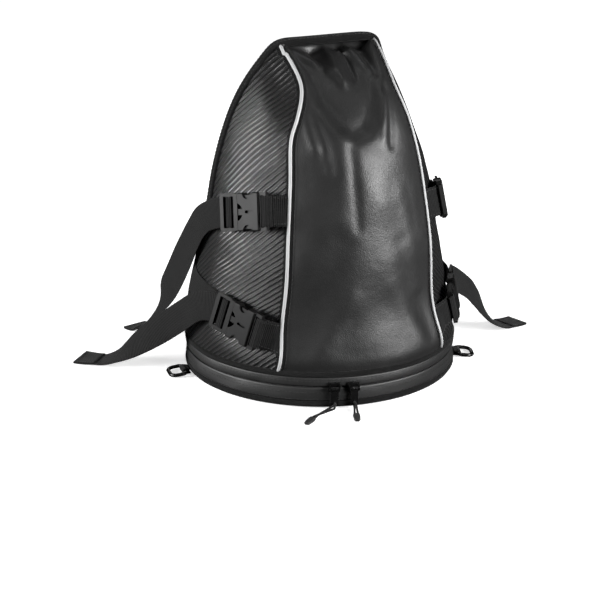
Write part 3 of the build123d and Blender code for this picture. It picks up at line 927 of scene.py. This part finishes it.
def side_push(p):
    """A side's folds fade out at its piping, its rear seam and the roll."""
    rim = ease((seam_at(p.z, SEAM_Y) - p.y) / 14) * ease((p.z - SHELL_BOTTOM) / 14)
    rim *= ease((abs(p.x) - seam_at(p.z, PIPING[1 if p.x > 0 else -1])) / 14)
    return rim * (puff(p, 42, 1.0) + 0.5 * fold_height(p.y, p.z, SIDE_FOLDS) - 0.2) - 0.15


def tucked(rows, in_x, in_y, back):
    """The rows with one more behind the roll, and one more in under the binding on the ridge."""
    below = [p - Vector((0, 0, UNDER_ROLL)) for p in rows[0]]
    lid = [rounded(Vector((p.x * in_x, p.y * in_y - back, RIDGE - 0.2))) for p in rows[-1]]
    return [below, *rows, lid]


panel_heights = heights(SHELL_BOTTOM + 0.5, RIDGE - 1.5, 3.0)
centre_y = {h: middle_y(h) for h in panel_heights}
for sign, side in ((-1, "left"), (1, "right")):
    rows = [[side_point(sign, height, c / 60) for c in range(61)] for height in panel_heights]
    rows = tucked(rows, 0.93, 0.9, 1.0)
    if sign < 0:
        rows = [list(reversed(row)) for row in rows]
    made = grid(f"side_cloth_{side}", rows, carbon_skin, "shell")
    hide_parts(f"side_panel_{side}")
    for loop in made.data.uv_layers["cloth"].data:
        if sign > 0:
            loop.uv.x = -loop.uv.x
    cloth_up(made, side_push, 1.8)

rows = []
for height in panel_heights:
    middle = Vector((0, centre_y[height], height))
    ends = []
    for sign in (1, -1):
        place, _ = hit((sign * REACH, seam_at(height, SEAM_Y), height), (-sign, 0, 0))
        ends.append(place)
    row = []
    for c in range(81):
        x = ends[0].x * cos(pi * c / 80)
        place = hit((x, REACH, height), (0, -1, 0))
        if c in (0, 80) or place is None or place[0].y < ends[0].y:
            row.append(ends[0] if x > 0 else ends[1])
        else:
            row.append(place[0])
    rows.append(row)
back_cloth = grid("back_cloth", tucked(rows, 0.94, 0.5, 5.5), black_skin, "shell")
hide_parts("back_panel")


def back_push(p):
    """The back's unevenness fades out at its seams and the roll."""
    rim = min(max((p.y - seam_at(p.z, SEAM_Y)) / 14, 0), 1)
    rim *= min(max((p.z - SHELL_BOTTOM) / 14, 0), 1)
    return rim * (puff(p, 40, 1.0) - 0.2) - 0.15


cloth_up(back_cloth, back_push, 1.8)

# ======================================================================== trim along the panel seams
BEAD = [(1.75 * cos(radians(a)), 1.9 * sin(radians(a)) + 0.3) for a in range(0, 181, 20)]
BEAD += [(-1.6, -0.6), (0.0, -0.8), (1.6, -0.6)]
FLANGE = [(-4.0, -0.4), (-4.1, 0.35), (-3.6, 0.7), (3.6, 0.7), (4.1, 0.35), (4.0, -0.4)]
for sign, side in ((-1, "left"), (1, "right")):
    path, ways = [], []
    for height in heights(SHELL_BOTTOM - 1.0, RIDGE - 6.0, 3.0):
        x = sign * seam_at(height, PIPING[sign])
        place, way = hit((x, -REACH, max(height, SHELL_BOTTOM + 0.3)), (0, 1, 0))
        place.z = height if height < SHELL_BOTTOM + 0.3 else place.z
        path.append(place)
        ways.append(way)
    for n in range(1, 9):
        share = n / 8
        x = sign * seam_at(RIDGE, PIPING[sign])
        turn = radians(90 * share)
        target = Vector((x, -12.0, RIDGE - 6.0 - 12.0 * (1 - share)))
        way = Vector((0, -cos(turn), sin(turn)))
        found = hit(target + way * REACH, -way)
        path.append(found[0])
        ways.append(found[1])
    smooth_path, at = resample(path, 2.5)
    smooth_path = relaxed(smooth_path, 6)
    facing = eased_ways([mixed(ways, a).normalized() for a in at], 8)
    bead = sweep(f"piping_bead_{side}", smooth_path, facing, BEAD, shine, "shell")
    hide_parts(f"reflective_piping_{side}")
    sweep(f"piping_flange_{side}", smooth_path, facing, FLANGE, tape, "shell")
    ways_across = frames(smooth_path, facing)
    for k, offset in enumerate((-5.6, 5.6)):
        row = [p + w[1] * offset + w[2] * 0.3 for p, w in zip(smooth_path, ways_across)]
        on = slice(2, -6)
        stitches(f"piping_stitch_{side}_{k}", row[on], facing[on], "shell", thread, 2.8, 1.2, 0.24)

HALF_BINDING = [(-5.8, -2.6), (-6.3, 0.3), (-5.6, 1.7), (-3.0, 2.6)]
BINDING = [*HALF_BINDING, (0, 2.9), *[(-x, up) for x, up in reversed(HALF_BINDING)]]


def up_seam(sign):
    """Places up one rear seam, and the ways out of it."""
    found = []
    for height in heights(SHELL_BOTTOM - 1.0, RIDGE - 2.0, 3.0):
        low = max(height, SHELL_BOTTOM + 0.3)
        found.append(hit((sign * REACH, seam_at(height, SEAM_Y), low), (-sign, 0, 0)))
    return found


ridge_y = seam_at(RIDGE, SEAM_Y)
over_ridge = [hit((x, ridge_y, REACH * 1.5), (0, 0, -1)) for x in heights(-52.0, 52.0, 3.0)]
found = [*up_seam(-1), *over_ridge, *reversed(up_seam(1))]
ways = [way for _, way in found]
ridge_path, at = resample([place for place, _ in found], 2.5)
ridge_path = relaxed(ridge_path, 10)
facing = eased_ways([mixed(ways, a).normalized() for a in at], 10)


def ridge_share(share):
    """How far the binding's girth grows along the ridge, by the share of its whole run."""
    return 1.0 + 0.45 * ease((0.085 - abs(share - 0.5)) / 0.04)


for p in ridge_path:
    p.z += ease((p.z - 325.0) / 20.0) * (1.0 + 2.2 * ease((p.x + 50.0) / 100.0))
binding = sweep("seam_binding", ridge_path, facing, BINDING, tape, "shell", scale=ridge_share)
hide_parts("edge_binding")
ways_across = frames(ridge_path, facing)
for k, offset in enumerate((-4.2, 4.2)):
    row = []
    for n, p in enumerate(ridge_path):
        size = ridge_share(n / (len(ridge_path) - 1))
        row.append(p + (ways_across[n][1] * offset + ways_across[n][2] * 2.1) * size)
    stitches(f"binding_stitch_{k}", row[2:-2], facing[2:-2], "shell", thread, 2.8, 1.2, 0.26)


# ======================================================================== bands and rolls round the base
def outline(inset=0.0, step=4.0):
    """The tray's outline as places and outward ways, from the left rear corner round the front."""
    stretches = []
    for centre, radius, start, sweep_angle in (
        ((0, 0), BASE_RADIUS, pi - ARC_END, pi + 2 * ARC_END),
        ((CORNER_X, CORNER_Y), CORNER_RADIUS, ARC_END, pi / 2 - ARC_END),
        (None, 0, 0, 0),
        ((-CORNER_X, CORNER_Y), CORNER_RADIUS, pi / 2, pi / 2 - ARC_END),
    ):
        if centre is None:
            count = int(2 * CORNER_X / step)
            for n in range(count):
                x = CORNER_X - 2 * CORNER_X * n / count
                stretches.append((Vector((x, BACK_Y, 0)), Vector((0, 1, 0))))
            continue
        count = int(radius * sweep_angle / step)
        for n in range(count):
            turn = start + sweep_angle * n / count
            way = Vector((cos(turn), sin(turn), 0))
            stretches.append((Vector((*centre, 0)) + way * radius, way))
    return [(p - way * inset, way) for p, way in stretches]


def around(name, profile, finish_of, body, replaced, uneven=0.0, seed=0.0, size=30.0):
    """A closed band that follows the base: profile is (outwards, height) points."""
    stations = outline()
    points, uvs = [], []
    count = len(profile)
    girth = lengths([Vector((a, z, 0)) for a, z in profile])
    run = 0.0
    for n, (p, way) in enumerate(stations):
        before = stations[n - 1][0]
        run += (p - before).length * MM if n else 0
        for k, (out, z) in enumerate(profile):
            place = p + way * out + Vector((0, 0, z))
            spot = Vector((place.x, place.y, place.z * 2)) / size + Vector((seed, 0, 0))
            points.append(place + way * min(uneven * noise.noise(spot), 0.9))
            uvs.append((run, girth[k]))
    polygons = [face[::-1] for face in tube_faces(len(stations), count, loop=True)]
    made = piece(name, points, polygons, finish_of, body, uvs=uvs)
    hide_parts(*replaced)
    return made


ROLL_ROUND, ROLL_BACK = 2.4, -5.0
BAND_OUT, BAND_BACK, BAND_BELLY = -1.5, -2.7, 0.5


def roll_profile(low, high):
    """A padded roll's section: round outside, flat inside."""
    middle, half = (low + high) / 2, (high - low) / 2
    turns = [radians(a) for a in range(-90, 91, 15)]
    round_part = [(ROLL_ROUND * (cos(t) - 1), middle + half * sin(t)) for t in turns]
    return [(ROLL_BACK, low + 0.4), *round_part, (ROLL_BACK, high - 0.4)]


def band_profile(low, high):
    """A flat band's section, a little full in the middle."""
    shares = [n / 8 for n in range(9)]
    outer = [(BAND_OUT + BAND_BELLY * sin(pi * t), low + (high - low) * t) for t in shares]
    return outer + [(BAND_BACK, high), (BAND_BACK, low)]


around("bottom_roll_cloth", roll_profile(1.5, 8.0), tape, "tray", ["bottom_roll"], 0.3, 3.0)
around("lower_band_cloth", band_profile(8.0, 22.2), band_skin, "tray", ["lower_band"], 0.9, 1.0)
around("upper_band_cloth", band_profile(23.8, 32.5), band_skin, "shell", ["upper_band"], 0.7, 2.0)
around("top_roll_cloth", roll_profile(32.5, 38.5), tape, "shell", ["top_roll"], 0.3, 4.0)
for name, height, out, body in (
    ("low_stitch", 9.6, -1.0, "tray"),
    ("flap_stitch_low", 17.0, -1.0, "tray"),
    ("flap_stitch_high", 28.9, -1.0, "shell"),
    ("high_stitch", 31.0, -1.1, "shell"),
):
    line = [p + way * (out + 0.35) + Vector((0, 0, height)) for p, way in outline()]
    line.append(line[0])
    facing = [way for _, way in outline()]
    facing.append(facing[0])
    stitches(name, line, facing, body, thread, 2.8, 1.2, 0.24)


# ======================================================================== zip tapes, teeth and hinge
def open_outline(inset):
    """The outline from one end of the rear hinge round the front to its other end."""
    back = BACK_Y - inset - 0.01
    left = [(p, way) for p, way in outline(inset, 2.0) if p.y < back or abs(p.x) > HINGE_HALF]
    pairs = [(left[n - 1][0], left[n][0]) for n in range(len(left))]
    behind = [before.x > 0 > here.x and here.y > 0 for before, here in pairs]
    split = behind.index(True)
    return left[split:] + left[:split]


HINGE_HALF = 64.0
ZIP_HEIGHT, TAPE_INSET = 23.0, 4.7
# up a tooth: height, half width and half depth
TOOTH = ((0.0, 0.34, 0.55), (0.7, 0.42, 0.68), (1.6, 0.4, 0.6), (2.1, 0.26, 0.35))
for half, body, rise in (("lower", "tray", -1), ("upper", "shell", 1)):
    stations = open_outline(TAPE_INSET + 0.45)
    near, far = ZIP_HEIGHT + rise * 0.3, ZIP_HEIGHT + rise * 9.3
    line = [p + Vector((0, 0, (near + far) / 2)) for p, _ in stations]
    facing = [way for _, way in stations]
    strip = sweep(f"{half}_tape_cloth", line, facing, stadium(9.0, 0.9), zip_cloth, body)
    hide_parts(f"{half}_zip_tape")
    teeth_line, at = resample([p + way * 1.15 for p, way in stations], 1.5)
    points, faces = [], []
    for n, place in enumerate(teeth_line[:-1]):
        way = mixed(facing, at[n])
        along = Vector((-way.y, way.x, 0))
        foot = place + Vector((0, 0, ZIP_HEIGHT + rise * 0.32))
        first = len(points)
        for up, wide, reach in TOOTH:
            for a, b in ((-1, -1), (1, -1), (1, 1), (-1, 1)):
                corner = foot + along * a * wide + way * b * reach
                points.append(corner + Vector((0, 0, rise * up)))
        faces += tube_faces(4, 4, first) + end_faces(4, 4, first)
    teeth = piece(f"{half}_teeth", points, faces, rubber, body)
    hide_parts(f"{half}_zip_coil")

# the hinge fold from below: out from the tray's back, and height
fold_path = [
    (-1.3, 9.0),
    (-1.2, 14.0),
    (-1.0, 18.5),
    (-0.2, 21.0),
    (1.0, 22.2),
    (1.3, 23.0),
    (1.0, 23.8),
    (-0.2, 25.0),
    (-1.1, 26.2),
]
fold_line, _ = resample([Vector((0, y, z)) for y, z in fold_path], 0.7)
rows = []
for p in fold_line:
    row = []
    for x in heights(-62, 62, 4):
        uneven = 0.15 * noise.noise(Vector((x / 9, p.z / 5, 0)))
        row.append(Vector((x, BACK_Y + p.y + uneven, p.z)))
    rows.append(row)
hinge_cloth = grid("hinge_cloth", rows, band_skin, None)
solid = hinge_cloth.modifiers.new("cloth", "SOLIDIFY")
solid.thickness = 1.0 * MM
solid.offset = 0.0
bpy.context.view_layer.update()
graph = bpy.context.evaluated_depsgraph_get()
thick_mesh = bpy.data.meshes.new_from_object(hinge_cloth.evaluated_get(graph), depsgraph=graph)
hinge_cloth.modifiers.clear()
hinge_cloth.data = thick_mesh
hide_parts("rear_hinge_fold")
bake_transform(hinge_cloth)


# ======================================================================== straps on the shell
def slab(name, rows, thick, finish_of, body):
    """A closed sheet on rows of points, half its thickness to each side. Its map is in metres."""
    wide, tall = len(rows[0]), len(rows)
    sides = ([], [])
    for r in range(tall):
        for c in range(wide):
            up = rows[min(r + 1, tall - 1)][c] - rows[max(r - 1, 0)][c]
            aside = rows[r][min(c + 1, wide - 1)] - rows[r][max(c - 1, 0)]
            out = up.cross(aside).normalized()
            edge = 0.55 if c in (0, wide - 1) else 1.0
            for side, sign in zip(sides, (1, -1)):
                side.append(rows[r][c] + out * sign * thick / 2 * edge)
    faces = []
    total = wide * tall
    for r in range(tall - 1):
        for c in range(wide - 1):
            a, b = r * wide + c, (r + 1) * wide + c
            faces.append((a, b, b + 1, a + 1))
            faces.append((total + a, total + a + 1, total + b + 1, total + b))
        for c, turn in ((0, 1), (wide - 1, -1)):
            a, b = r * wide + c, (r + 1) * wide + c
            faces.append((a, total + a, total + b, b)[::turn])
    for r, turn in ((0, -1), (tall - 1, 1)):
        for c in range(wide - 1):
            a = r * wide + c
            faces.append((a, total + a, total + a + 1, a + 1)[::turn])
    across = lengths(rows[tall // 2])
    up = lengths([row[wide // 2] for row in rows])
    uvs = [(across[c], up[r]) for r in range(tall) for c in range(wide)] * 2
    return piece(name, sides[0] + sides[1], faces, finish_of, body, uvs=uvs)


def strap_rows(side, path, near, way_on, stop):
    """Rows across a strap: its loop in the buckle's plane, then the part on the shell."""
    axes = buckle_axes(side)
    down = axes.to_3x3() @ Vector((0, 0, -1))
    shares = [WEB_WIDTH * (c / 12 - 0.5) for c in range(13)]
    line, _ = resample([Vector((x, 0, z)) for x, z in path], 0.9)
    line = relaxed(line, 2)
    loop = [[axes @ Vector((p.x, v, p.z)) for v in shares] for p in line]

    def lie(along, v):
        place, way = hit(axes @ Vector((along, v, 60)), down)
        return place + way * (WEB_STAND + WEB_THICK / 2)

    limits = []
    for v in shares:
        along = near
        while abs(along) < 150 and not stop(lie(along, v)):
            along += way_on * 1.5
        limits.append(along)
    count = max(4, int(abs(sum(limits) / 13 - near) / 2.5))
    on_shell = []
    for n in range(count + 1):
        on_shell.append([lie(near + (end - near) * n / count, v) for end, v in zip(limits, shares)])
    rows = loop + on_shell[2:]
    joint = len(loop)
    for _ in range(4):
        for r in range(max(joint - 6, 1), min(joint + 6, len(rows) - 1)):
            rows[r] = [(a + b * 2 + c) / 4 for a, b, c in zip(rows[r - 1], rows[r], rows[r + 1])]
    return rows


def local_depth(side, along):
    """The strap's middle height at a place along it, in the buckle's own axes."""
    axes = buckle_axes(side)
    place, _ = hit(axes @ Vector((along, 0, 60)), axes.to_3x3() @ Vector((0, 0, -1)))
    return (axes.inverted() @ place).z + WEB_STAND + WEB_THICK / 2


# the two straps' loops through a buckle, in its own axes: along it, and its height
FRONT_LOOP = [(41.0, -0.6), (40.6, -1.0), (37.2, 3.2), (31.4, 3.2), (31.2, -3.3), (38.4, -3.3)]
LOOP_LEAVES = -27.0
REAR_LOOP = [
    (TAIL_STARTS, LAYER_MID),
    (-16.4, LAYER_MID),
    (-14.6, LAYER_TOP),
    (-8.2, LAYER_TOP),
    (-8.2, LAYER_LOW),
    (LOOP_LEAVES, LAYER_LOW),
]
for side, (sign, *_) in BUCKLES.items():
    near = STRAP_LANDS
    rows = strap_rows(
        side,
        [*FRONT_LOOP, (near + 1.5, local_depth(side, near))],
        near,
        1,
        lambda p: abs(p.x) < seam_at(p.z, PIPING[sign]) + 3.0,
    )
    short = slab(f"short_web_{side}", rows, WEB_THICK, web, "shell")
    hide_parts(f"short_webbing_{side}")
    ways = []
    for r, row in enumerate(rows):
        along = rows[min(r + 1, len(rows) - 1)][6] - rows[max(r - 1, 0)][6]
        ways.append(along.cross(row[7] - row[5]).normalized())
    for k, c in enumerate((1, 11)):
        line = [rows[r][c] + ways[r] * 0.85 for r in range(16, len(rows))]
        stitches(f"short_stitch_{side}_{k}", line, ways[16:], "shell", thread, 2.4, 1.0, 0.26)
    rows = strap_rows(
        side,
        [*REAR_LOOP, (-near - 1.5, local_depth(side, -near))],
        -near,
        -1,
        lambda p: p.y > seam_at(p.z, SEAM_Y) - 5.0,
    )
    rear = slab(f"rear_web_{side}", rows, WEB_THICK, web, None)
    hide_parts(f"rear_strap_{side}")
    axes = buckle_axes(side)
    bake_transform(rear)

# ======================================================================== back pad and handle
PAD_HALF, PAD_LOW, PAD_HIGH, PAD_STAND = 72.0, 62.0, 236.0, 9.0
PAD_CORNERS = 0.36
QUILT_DEEP, QUILT_WIDE, QUILT_MIDDLE_WIDE = 4.2, 3.0, 3.2
QUILT_ASIDE = (-44.0, 44.0)
QUILT_UP = (96.0, 131.0, 167.0, 202.0)
pad_middle = (PAD_LOW + PAD_HIGH) / 2


def squared(v):
    """A sine or cosine drawn out, so that a circle turns into a rounded box."""
    return (1 if v > 0 else -1) * abs(v) ** PAD_CORNERS


def pad_place(share, turn):
    """A place on the back under the pad: share 0 in its middle and 1 on its outline."""
    x = PAD_HALF * share * squared(cos(turn))
    z = pad_middle + (PAD_HIGH - PAD_LOW) / 2 * share * squared(sin(turn))
    return hit((x, REACH, z), (0, -1, 0))


def pad_height(x, z, share):
    """The pad's fullness: soft at its rim and pressed in along its quilting lines."""
    body = 2.2 + (PAD_STAND - 2.6) * ease((1 - share) / 0.16)
    lines = exp(-((x / QUILT_MIDDLE_WIDE) ** 2))
    for off in [z - high for high in QUILT_UP] + [x - aside for aside in QUILT_ASIDE]:
        lines = max(lines, exp(-((off / QUILT_WIDE) ** 2)))
    return body - QUILT_DEEP * lines * ease((1 - share) / 0.12)


pad_rings = 34
shares = [0.0] + [(n / pad_rings) ** 0.85 for n in range(1, pad_rings + 1)]
turns = 96
points, faces, rim, rim_ways = [], [], [], []
for layer in (1, 0):
    for n, share in enumerate(shares):
        for k in range(turns if n else 1):
            place, way = pad_place(share, 2 * pi * (k + 0.5) / turns)
            rise = pad_height(place.x, place.z, share) if layer else 0.4
            points.append(place + way * rise)
            if layer and n == len(shares) - 1:
                rim.append(place + way * 1.3)
                rim_ways.append(way)
for layer in (0, 1):
    base = layer * (1 + turns * (len(shares) - 1))
    for k in range(turns):
        q = (k + 1) % turns
        ring_faces = [(base, base + 1 + k, base + 1 + q)]
        for n in range(len(shares) - 2):
            a, b = base + 1 + n * turns, base + 1 + (n + 1) * turns
            ring_faces.append((a + k, b + k, b + q, a + q))
        faces += [f[:: 1 if layer else -1] for f in ring_faces]
outer_ring = 1 + turns * (len(shares) - 2)
for k in range(turns):
    q = (k + 1) % turns
    other = 1 + turns * (len(shares) - 1)
    faces.append((outer_ring + k, outer_ring + q, other + outer_ring + q, other + outer_ring + k))
pad = piece("pad_cushion", points, faces, pad_cloth, "shell")
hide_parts("back_pad")
rim.append(rim[0])
rim_ways.append(rim_ways[0])
PAD_TRIM = [(-2.6, -0.7), (-2.8, 0.7), (-1.5, 1.7), (1.5, 1.7), (2.8, 0.7), (2.6, -0.7)]
sweep("pad_edge", rim, rim_ways, PAD_TRIM, tape, "shell", caps=False)

HANDLE_HALF, HANDLE_LOW, HANDLE_HIGH, HANDLE_FOOT, HANDLE_STAND = 48.0, 283.0, 308.0, 1.9, 20.0
feet = [hit((HANDLE_HALF - 14, REACH, z), (0, -1, 0))[0] for z in (HANDLE_LOW, HANDLE_HIGH)]
handle_up = (feet[1] - feet[0]).normalized()
handle_up = Vector((0, handle_up.y, handle_up.z))
handle_out = Vector((0, handle_up.z, -handle_up.y)).normalized()
crown = HANDLE_FOOT + HANDLE_STAND
corners = [
    (-HANDLE_HALF - 8, HANDLE_FOOT),
    (-HANDLE_HALF + 8, HANDLE_FOOT),
    (-HANDLE_HALF + 20, crown),
    (HANDLE_HALF - 20, crown),
    (HANDLE_HALF - 8, HANDLE_FOOT),
    (HANDLE_HALF + 8, HANDLE_FOOT),
]
line, _ = resample([Vector((x, y, 0)) for x, y in corners], 1.2)
line = relaxed(line, 10)
half_tall = (HANDLE_HIGH - HANDLE_LOW) / 2
start = Vector((0, feet[0].y, HANDLE_LOW)) + handle_up * half_tall
rows = []
for p in line:
    middle = start + Vector((p.x, 0, 0)) + handle_out * p.y
    rows.append([middle - handle_up * half_tall * (c / 6 - 1) for c in range(13)])
handle = slab("handle_web", rows, 2.6, web, "shell")
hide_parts("grab_handle")
sleeve = [row for row in rows if abs(row[6].x) < HANDLE_HALF - 22]
slab("handle_sleeve", [[row[6].lerp(q, 1.03) for q in row] for row in sleeve], 3.8, band_skin, "shell")


def foot_row(name, places):
    """Stitches on the face of the handle's sewn foot, through places across and up it."""
    face = start + handle_out * (HANDLE_FOOT + 1.6)
    line = [face + Vector((x, 0, 0)) + handle_up * 2 * half_tall * share for x, share in places]
    stitches(name, line, [handle_out] * len(line), "shell", thread, 2.4, 0.9, 0.3)


FOOT_NEAR, FOOT_MIDDLE, FOOT_FAR, FOOT_UP = 42.5, 48.0, 54.0, 0.36
for sign in (-1, 1):
    for k, share in enumerate((-FOOT_UP, FOOT_UP)):
        places = [(sign * x, share) for x in (FOOT_NEAR, FOOT_MIDDLE, FOOT_FAR)]
        foot_row(f"handle_stitch_{sign}_{k}", places)
    for k, x in enumerate((FOOT_NEAR, FOOT_FAR)):
        places = [(sign * x, share) for share in (-FOOT_UP, 0, FOOT_UP)]
        foot_row(f"handle_bar_{sign}_{k}", places)

# ======================================================================== ring loops, cords and grips
LOOP_ROUND = 2.85
loop_turns = [radians(a) for a in range(120, -121, -15)]
loop_path = [(-5.8, 1.5), (-3.4, 2.2)]
loop_path += [(LOOP_ROUND * cos(t), LOOP_ROUND * sin(t)) for t in loop_turns]
loop_path += [(-3.4, -2.3), (-5.8, -2.2)]
for side, bearing in (("left", -93.0), ("right", 71.0)):
    outward = outward_at(bearing)
    along = Vector((0, 0, 1)).cross(outward)
    pivot = outward * (BASE_RADIUS + 6.0) + Vector((0, 0, 3.7))
    rows = []
    for a, b in loop_path:
        middle = pivot + outward * a + Vector((0, 0, b))
        rows.append([middle + along * 7.5 * (c / 4 - 1) for c in range(9)])
    loop = slab(f"ring_loop_{side}", rows, 1.3, web, "tray")
    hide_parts(f"ring_tab_{side}")

# the hole at the end of a slider's pull tab: out from the tray's outline and down from the zip
PULL_OUT, PULL_DOWN = 4.3, 14.8
CORD_RADIUS = 1.15
GRIP_LENGTH, GRIP_WIDE, GRIP_TALL = 15.0, 7.4, 4.4
# name, bearing of the slider, where its grip lies and the way it points
PULLS = (("left", -16.5, (-77.0, -163.0), 222.0), ("right", -9.0, (-31.0, -172.0), 250.0))
for side, bearing, spot, turn in PULLS:
    outward = outward_at(bearing)
    aside = Vector((0, 0, 1)).cross(outward)
    hole = outward * (BASE_RADIUS + PULL_OUT) + Vector((0, 0, ZIP_HEIGHT - PULL_DOWN))
    pointing = Vector((cos(radians(turn)), sin(radians(turn)), 0))
    end = Vector((*spot, 2.2)) - pointing * 7.5
    reach = (end - hole).length
    end = end - pointing * 0.15
    apart = Vector((0, 0, 1)).cross(pointing) * 1.5
    route = [
        end + apart,
        end + apart - pointing * 0.22 * reach + Vector((0, 0, 0.6)),
        hole + outward * 4.6 + aside * 0.4 + Vector((0, 0, 0.3)),
        hole + Vector((0, 0, -0.2)),
        hole - outward * 2.3 + Vector((0, 0, -2.6)),
        hole + outward * 1.2 + Vector((0, 0, -5.6)),
        end - apart - pointing * 0.22 * reach + Vector((0, 0, -0.9)),
        end - apart,
    ]
    line, _ = resample(route, 0.8)
    line = relaxed(line, 3)
    turns_round = [2 * pi * k / 12 for k in range(12)]
    profile = [(CORD_RADIUS * cos(t), CORD_RADIUS * sin(t)) for t in turns_round]
    facing = [aside + Vector((0.02, 0.01, 0.03))] * len(line)
    cord = sweep(f"pull_cord_{side}", line, facing, profile, braid, None)
    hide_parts(f"grip_cord_{side}")
    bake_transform(cord)
    level = Vector((0, 0, 1)).cross(pointing)
    grip_profile = stadium(GRIP_WIDE, GRIP_TALL)
    points = []
    steps = 60
    for n in range(steps + 1):
        share = n / steps
        ribbed = 1.0 + (0.07 if 0.2 < share < 0.82 and int(share * 22) % 2 else -0.03)
        size = (1.0 - 0.22 * share) * ribbed * min(1.0, 0.55 + 6.0 * share, 0.6 + 7.0 * (1 - share))
        middle = Vector((*spot, GRIP_TALL / 2 + 0.1)) + pointing * GRIP_LENGTH * (share - 0.5)
        for a, b in grip_profile:
            points.append(middle + level * a * size + Vector((0, 0, b * min(size, 1.0))))
    count = len(grip_profile)
    faces = tube_faces(steps + 1, count) + end_faces(steps + 1, count)
    moulding = piece(f"grip_moulding_{side}", points, faces, rubber, f"grip_{side}", smooth=False)
    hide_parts(f"grip_{side}")

# ======================================================================== CAD nodes that stay
STAYING = {
    "buckle_female": moulded,
    "buckle_male": moulded,
    "zip_slider": metal,
    "pull_tab": metal,
    "d_ring": metal,
    "base_board": board,
    "antislip_pad": mat,
    "base_panel": base_cloth,
}
for name in nodes:
    for start_of_name, made in STAYING.items():
        if name.startswith(start_of_name):
            dress(name, made)

# ======================================================================== floor and light
FLOOR = 6.0
floor_corners = [(FLOOR * a, FLOOR * b, 0) for a, b in ((-1, -1), (1, -1), (1, 1), (-1, 1))]
floor_mesh = bpy.data.meshes.new("floor")
floor_mesh.from_pydata(floor_corners, [], [(0, 1, 2, 3)])
floor_object = bpy.data.objects.new("floor", floor_mesh)
scene.collection.objects.link(floor_object)
paper, paper_tree, paper_shader = finish("paper", None, (0.9,) * 3, 0.95, specular=0.0)
seen = add_node(paper_tree, "ShaderNodeLightPath").outputs["Is Camera Ray"]
paper_tone = add_node(paper_tree, "ShaderNodeMix", {"Factor": seen}, data_type="RGBA")
paper_tone.inputs["A"].default_value = (0.04, 0.04, 0.04, 1)
paper_tone.inputs["B"].default_value = (0.9, 0.9, 0.9, 1)
link(paper_tree, paper_tone.outputs["Result"], paper_shader.inputs["Base Color"])
paper_shader.inputs["Emission Color"].default_value = (1, 1, 1, 1)
spot = add_node(paper_tree, "ShaderNodeTexCoord").outputs["Object"]
away = add_node(paper_tree, "ShaderNodeVectorMath", {0: spot}, operation="LENGTH").outputs["Value"]
glow = add_node(
    paper_tree,
    "ShaderNodeMapRange",
    {"Value": away, "From Min": 0.2, "From Max": 0.7, "To Min": 0.6, "To Max": 1.0},
).outputs[0]
glow = maths(paper_tree, "MULTIPLY", seen, glow)
link(paper_tree, glow, paper_shader.inputs["Emission Strength"])
floor_mesh.materials.append(paper)
floor_object.location.z = -0.0003

world = bpy.data.worlds.new("studio")
world.use_nodes = True
sky = world.node_tree
background = sky.nodes["Background"]
background.inputs["Color"].default_value = (1, 1, 1, 1)
seen = add_node(sky, "ShaderNodeLightPath").outputs["Is Camera Ray"]
strength = add_node(sky, "ShaderNodeMapRange", {"Value": seen, "To Min": 0.012, "To Max": 1.0})
link(sky, strength.outputs[0], background.inputs["Strength"])
scene.world = world
scene.view_settings.view_transform = "Standard"

LIGHTS = (
    # name, azimuth and elevation it shines from, distance, width, height, power
    ("right_box", 34, 14, 1.6, 1.1, 0.55, 52.0),
    ("left_box", -96, 10, 1.6, 0.8, 0.5, 44.0),
    ("top_box", -10, 84, 1.5, 0.5, 0.3, 2.0),
    ("back_box", 165, 30, 1.7, 0.8, 0.7, 5.0),
)
target = Vector((0, -0.02, 0.16))
for name, azimuth, elevation, far, width, height, power in LIGHTS:
    way = outward_at(azimuth) * cos(radians(elevation)) + Vector((0, 0, sin(radians(elevation))))
    lamp = bpy.data.lights.new(name, "AREA")
    lamp.shape = "RECTANGLE"
    lamp.size, lamp.size_y = width, height
    lamp.energy = power
    lamp_object = bpy.data.objects.new(name, lamp)
    lamp_object.location = target + way * far
    lamp_object.rotation_euler = way.to_track_quat("Z", "Y").to_euler()
    scene.collection.objects.link(lamp_object)
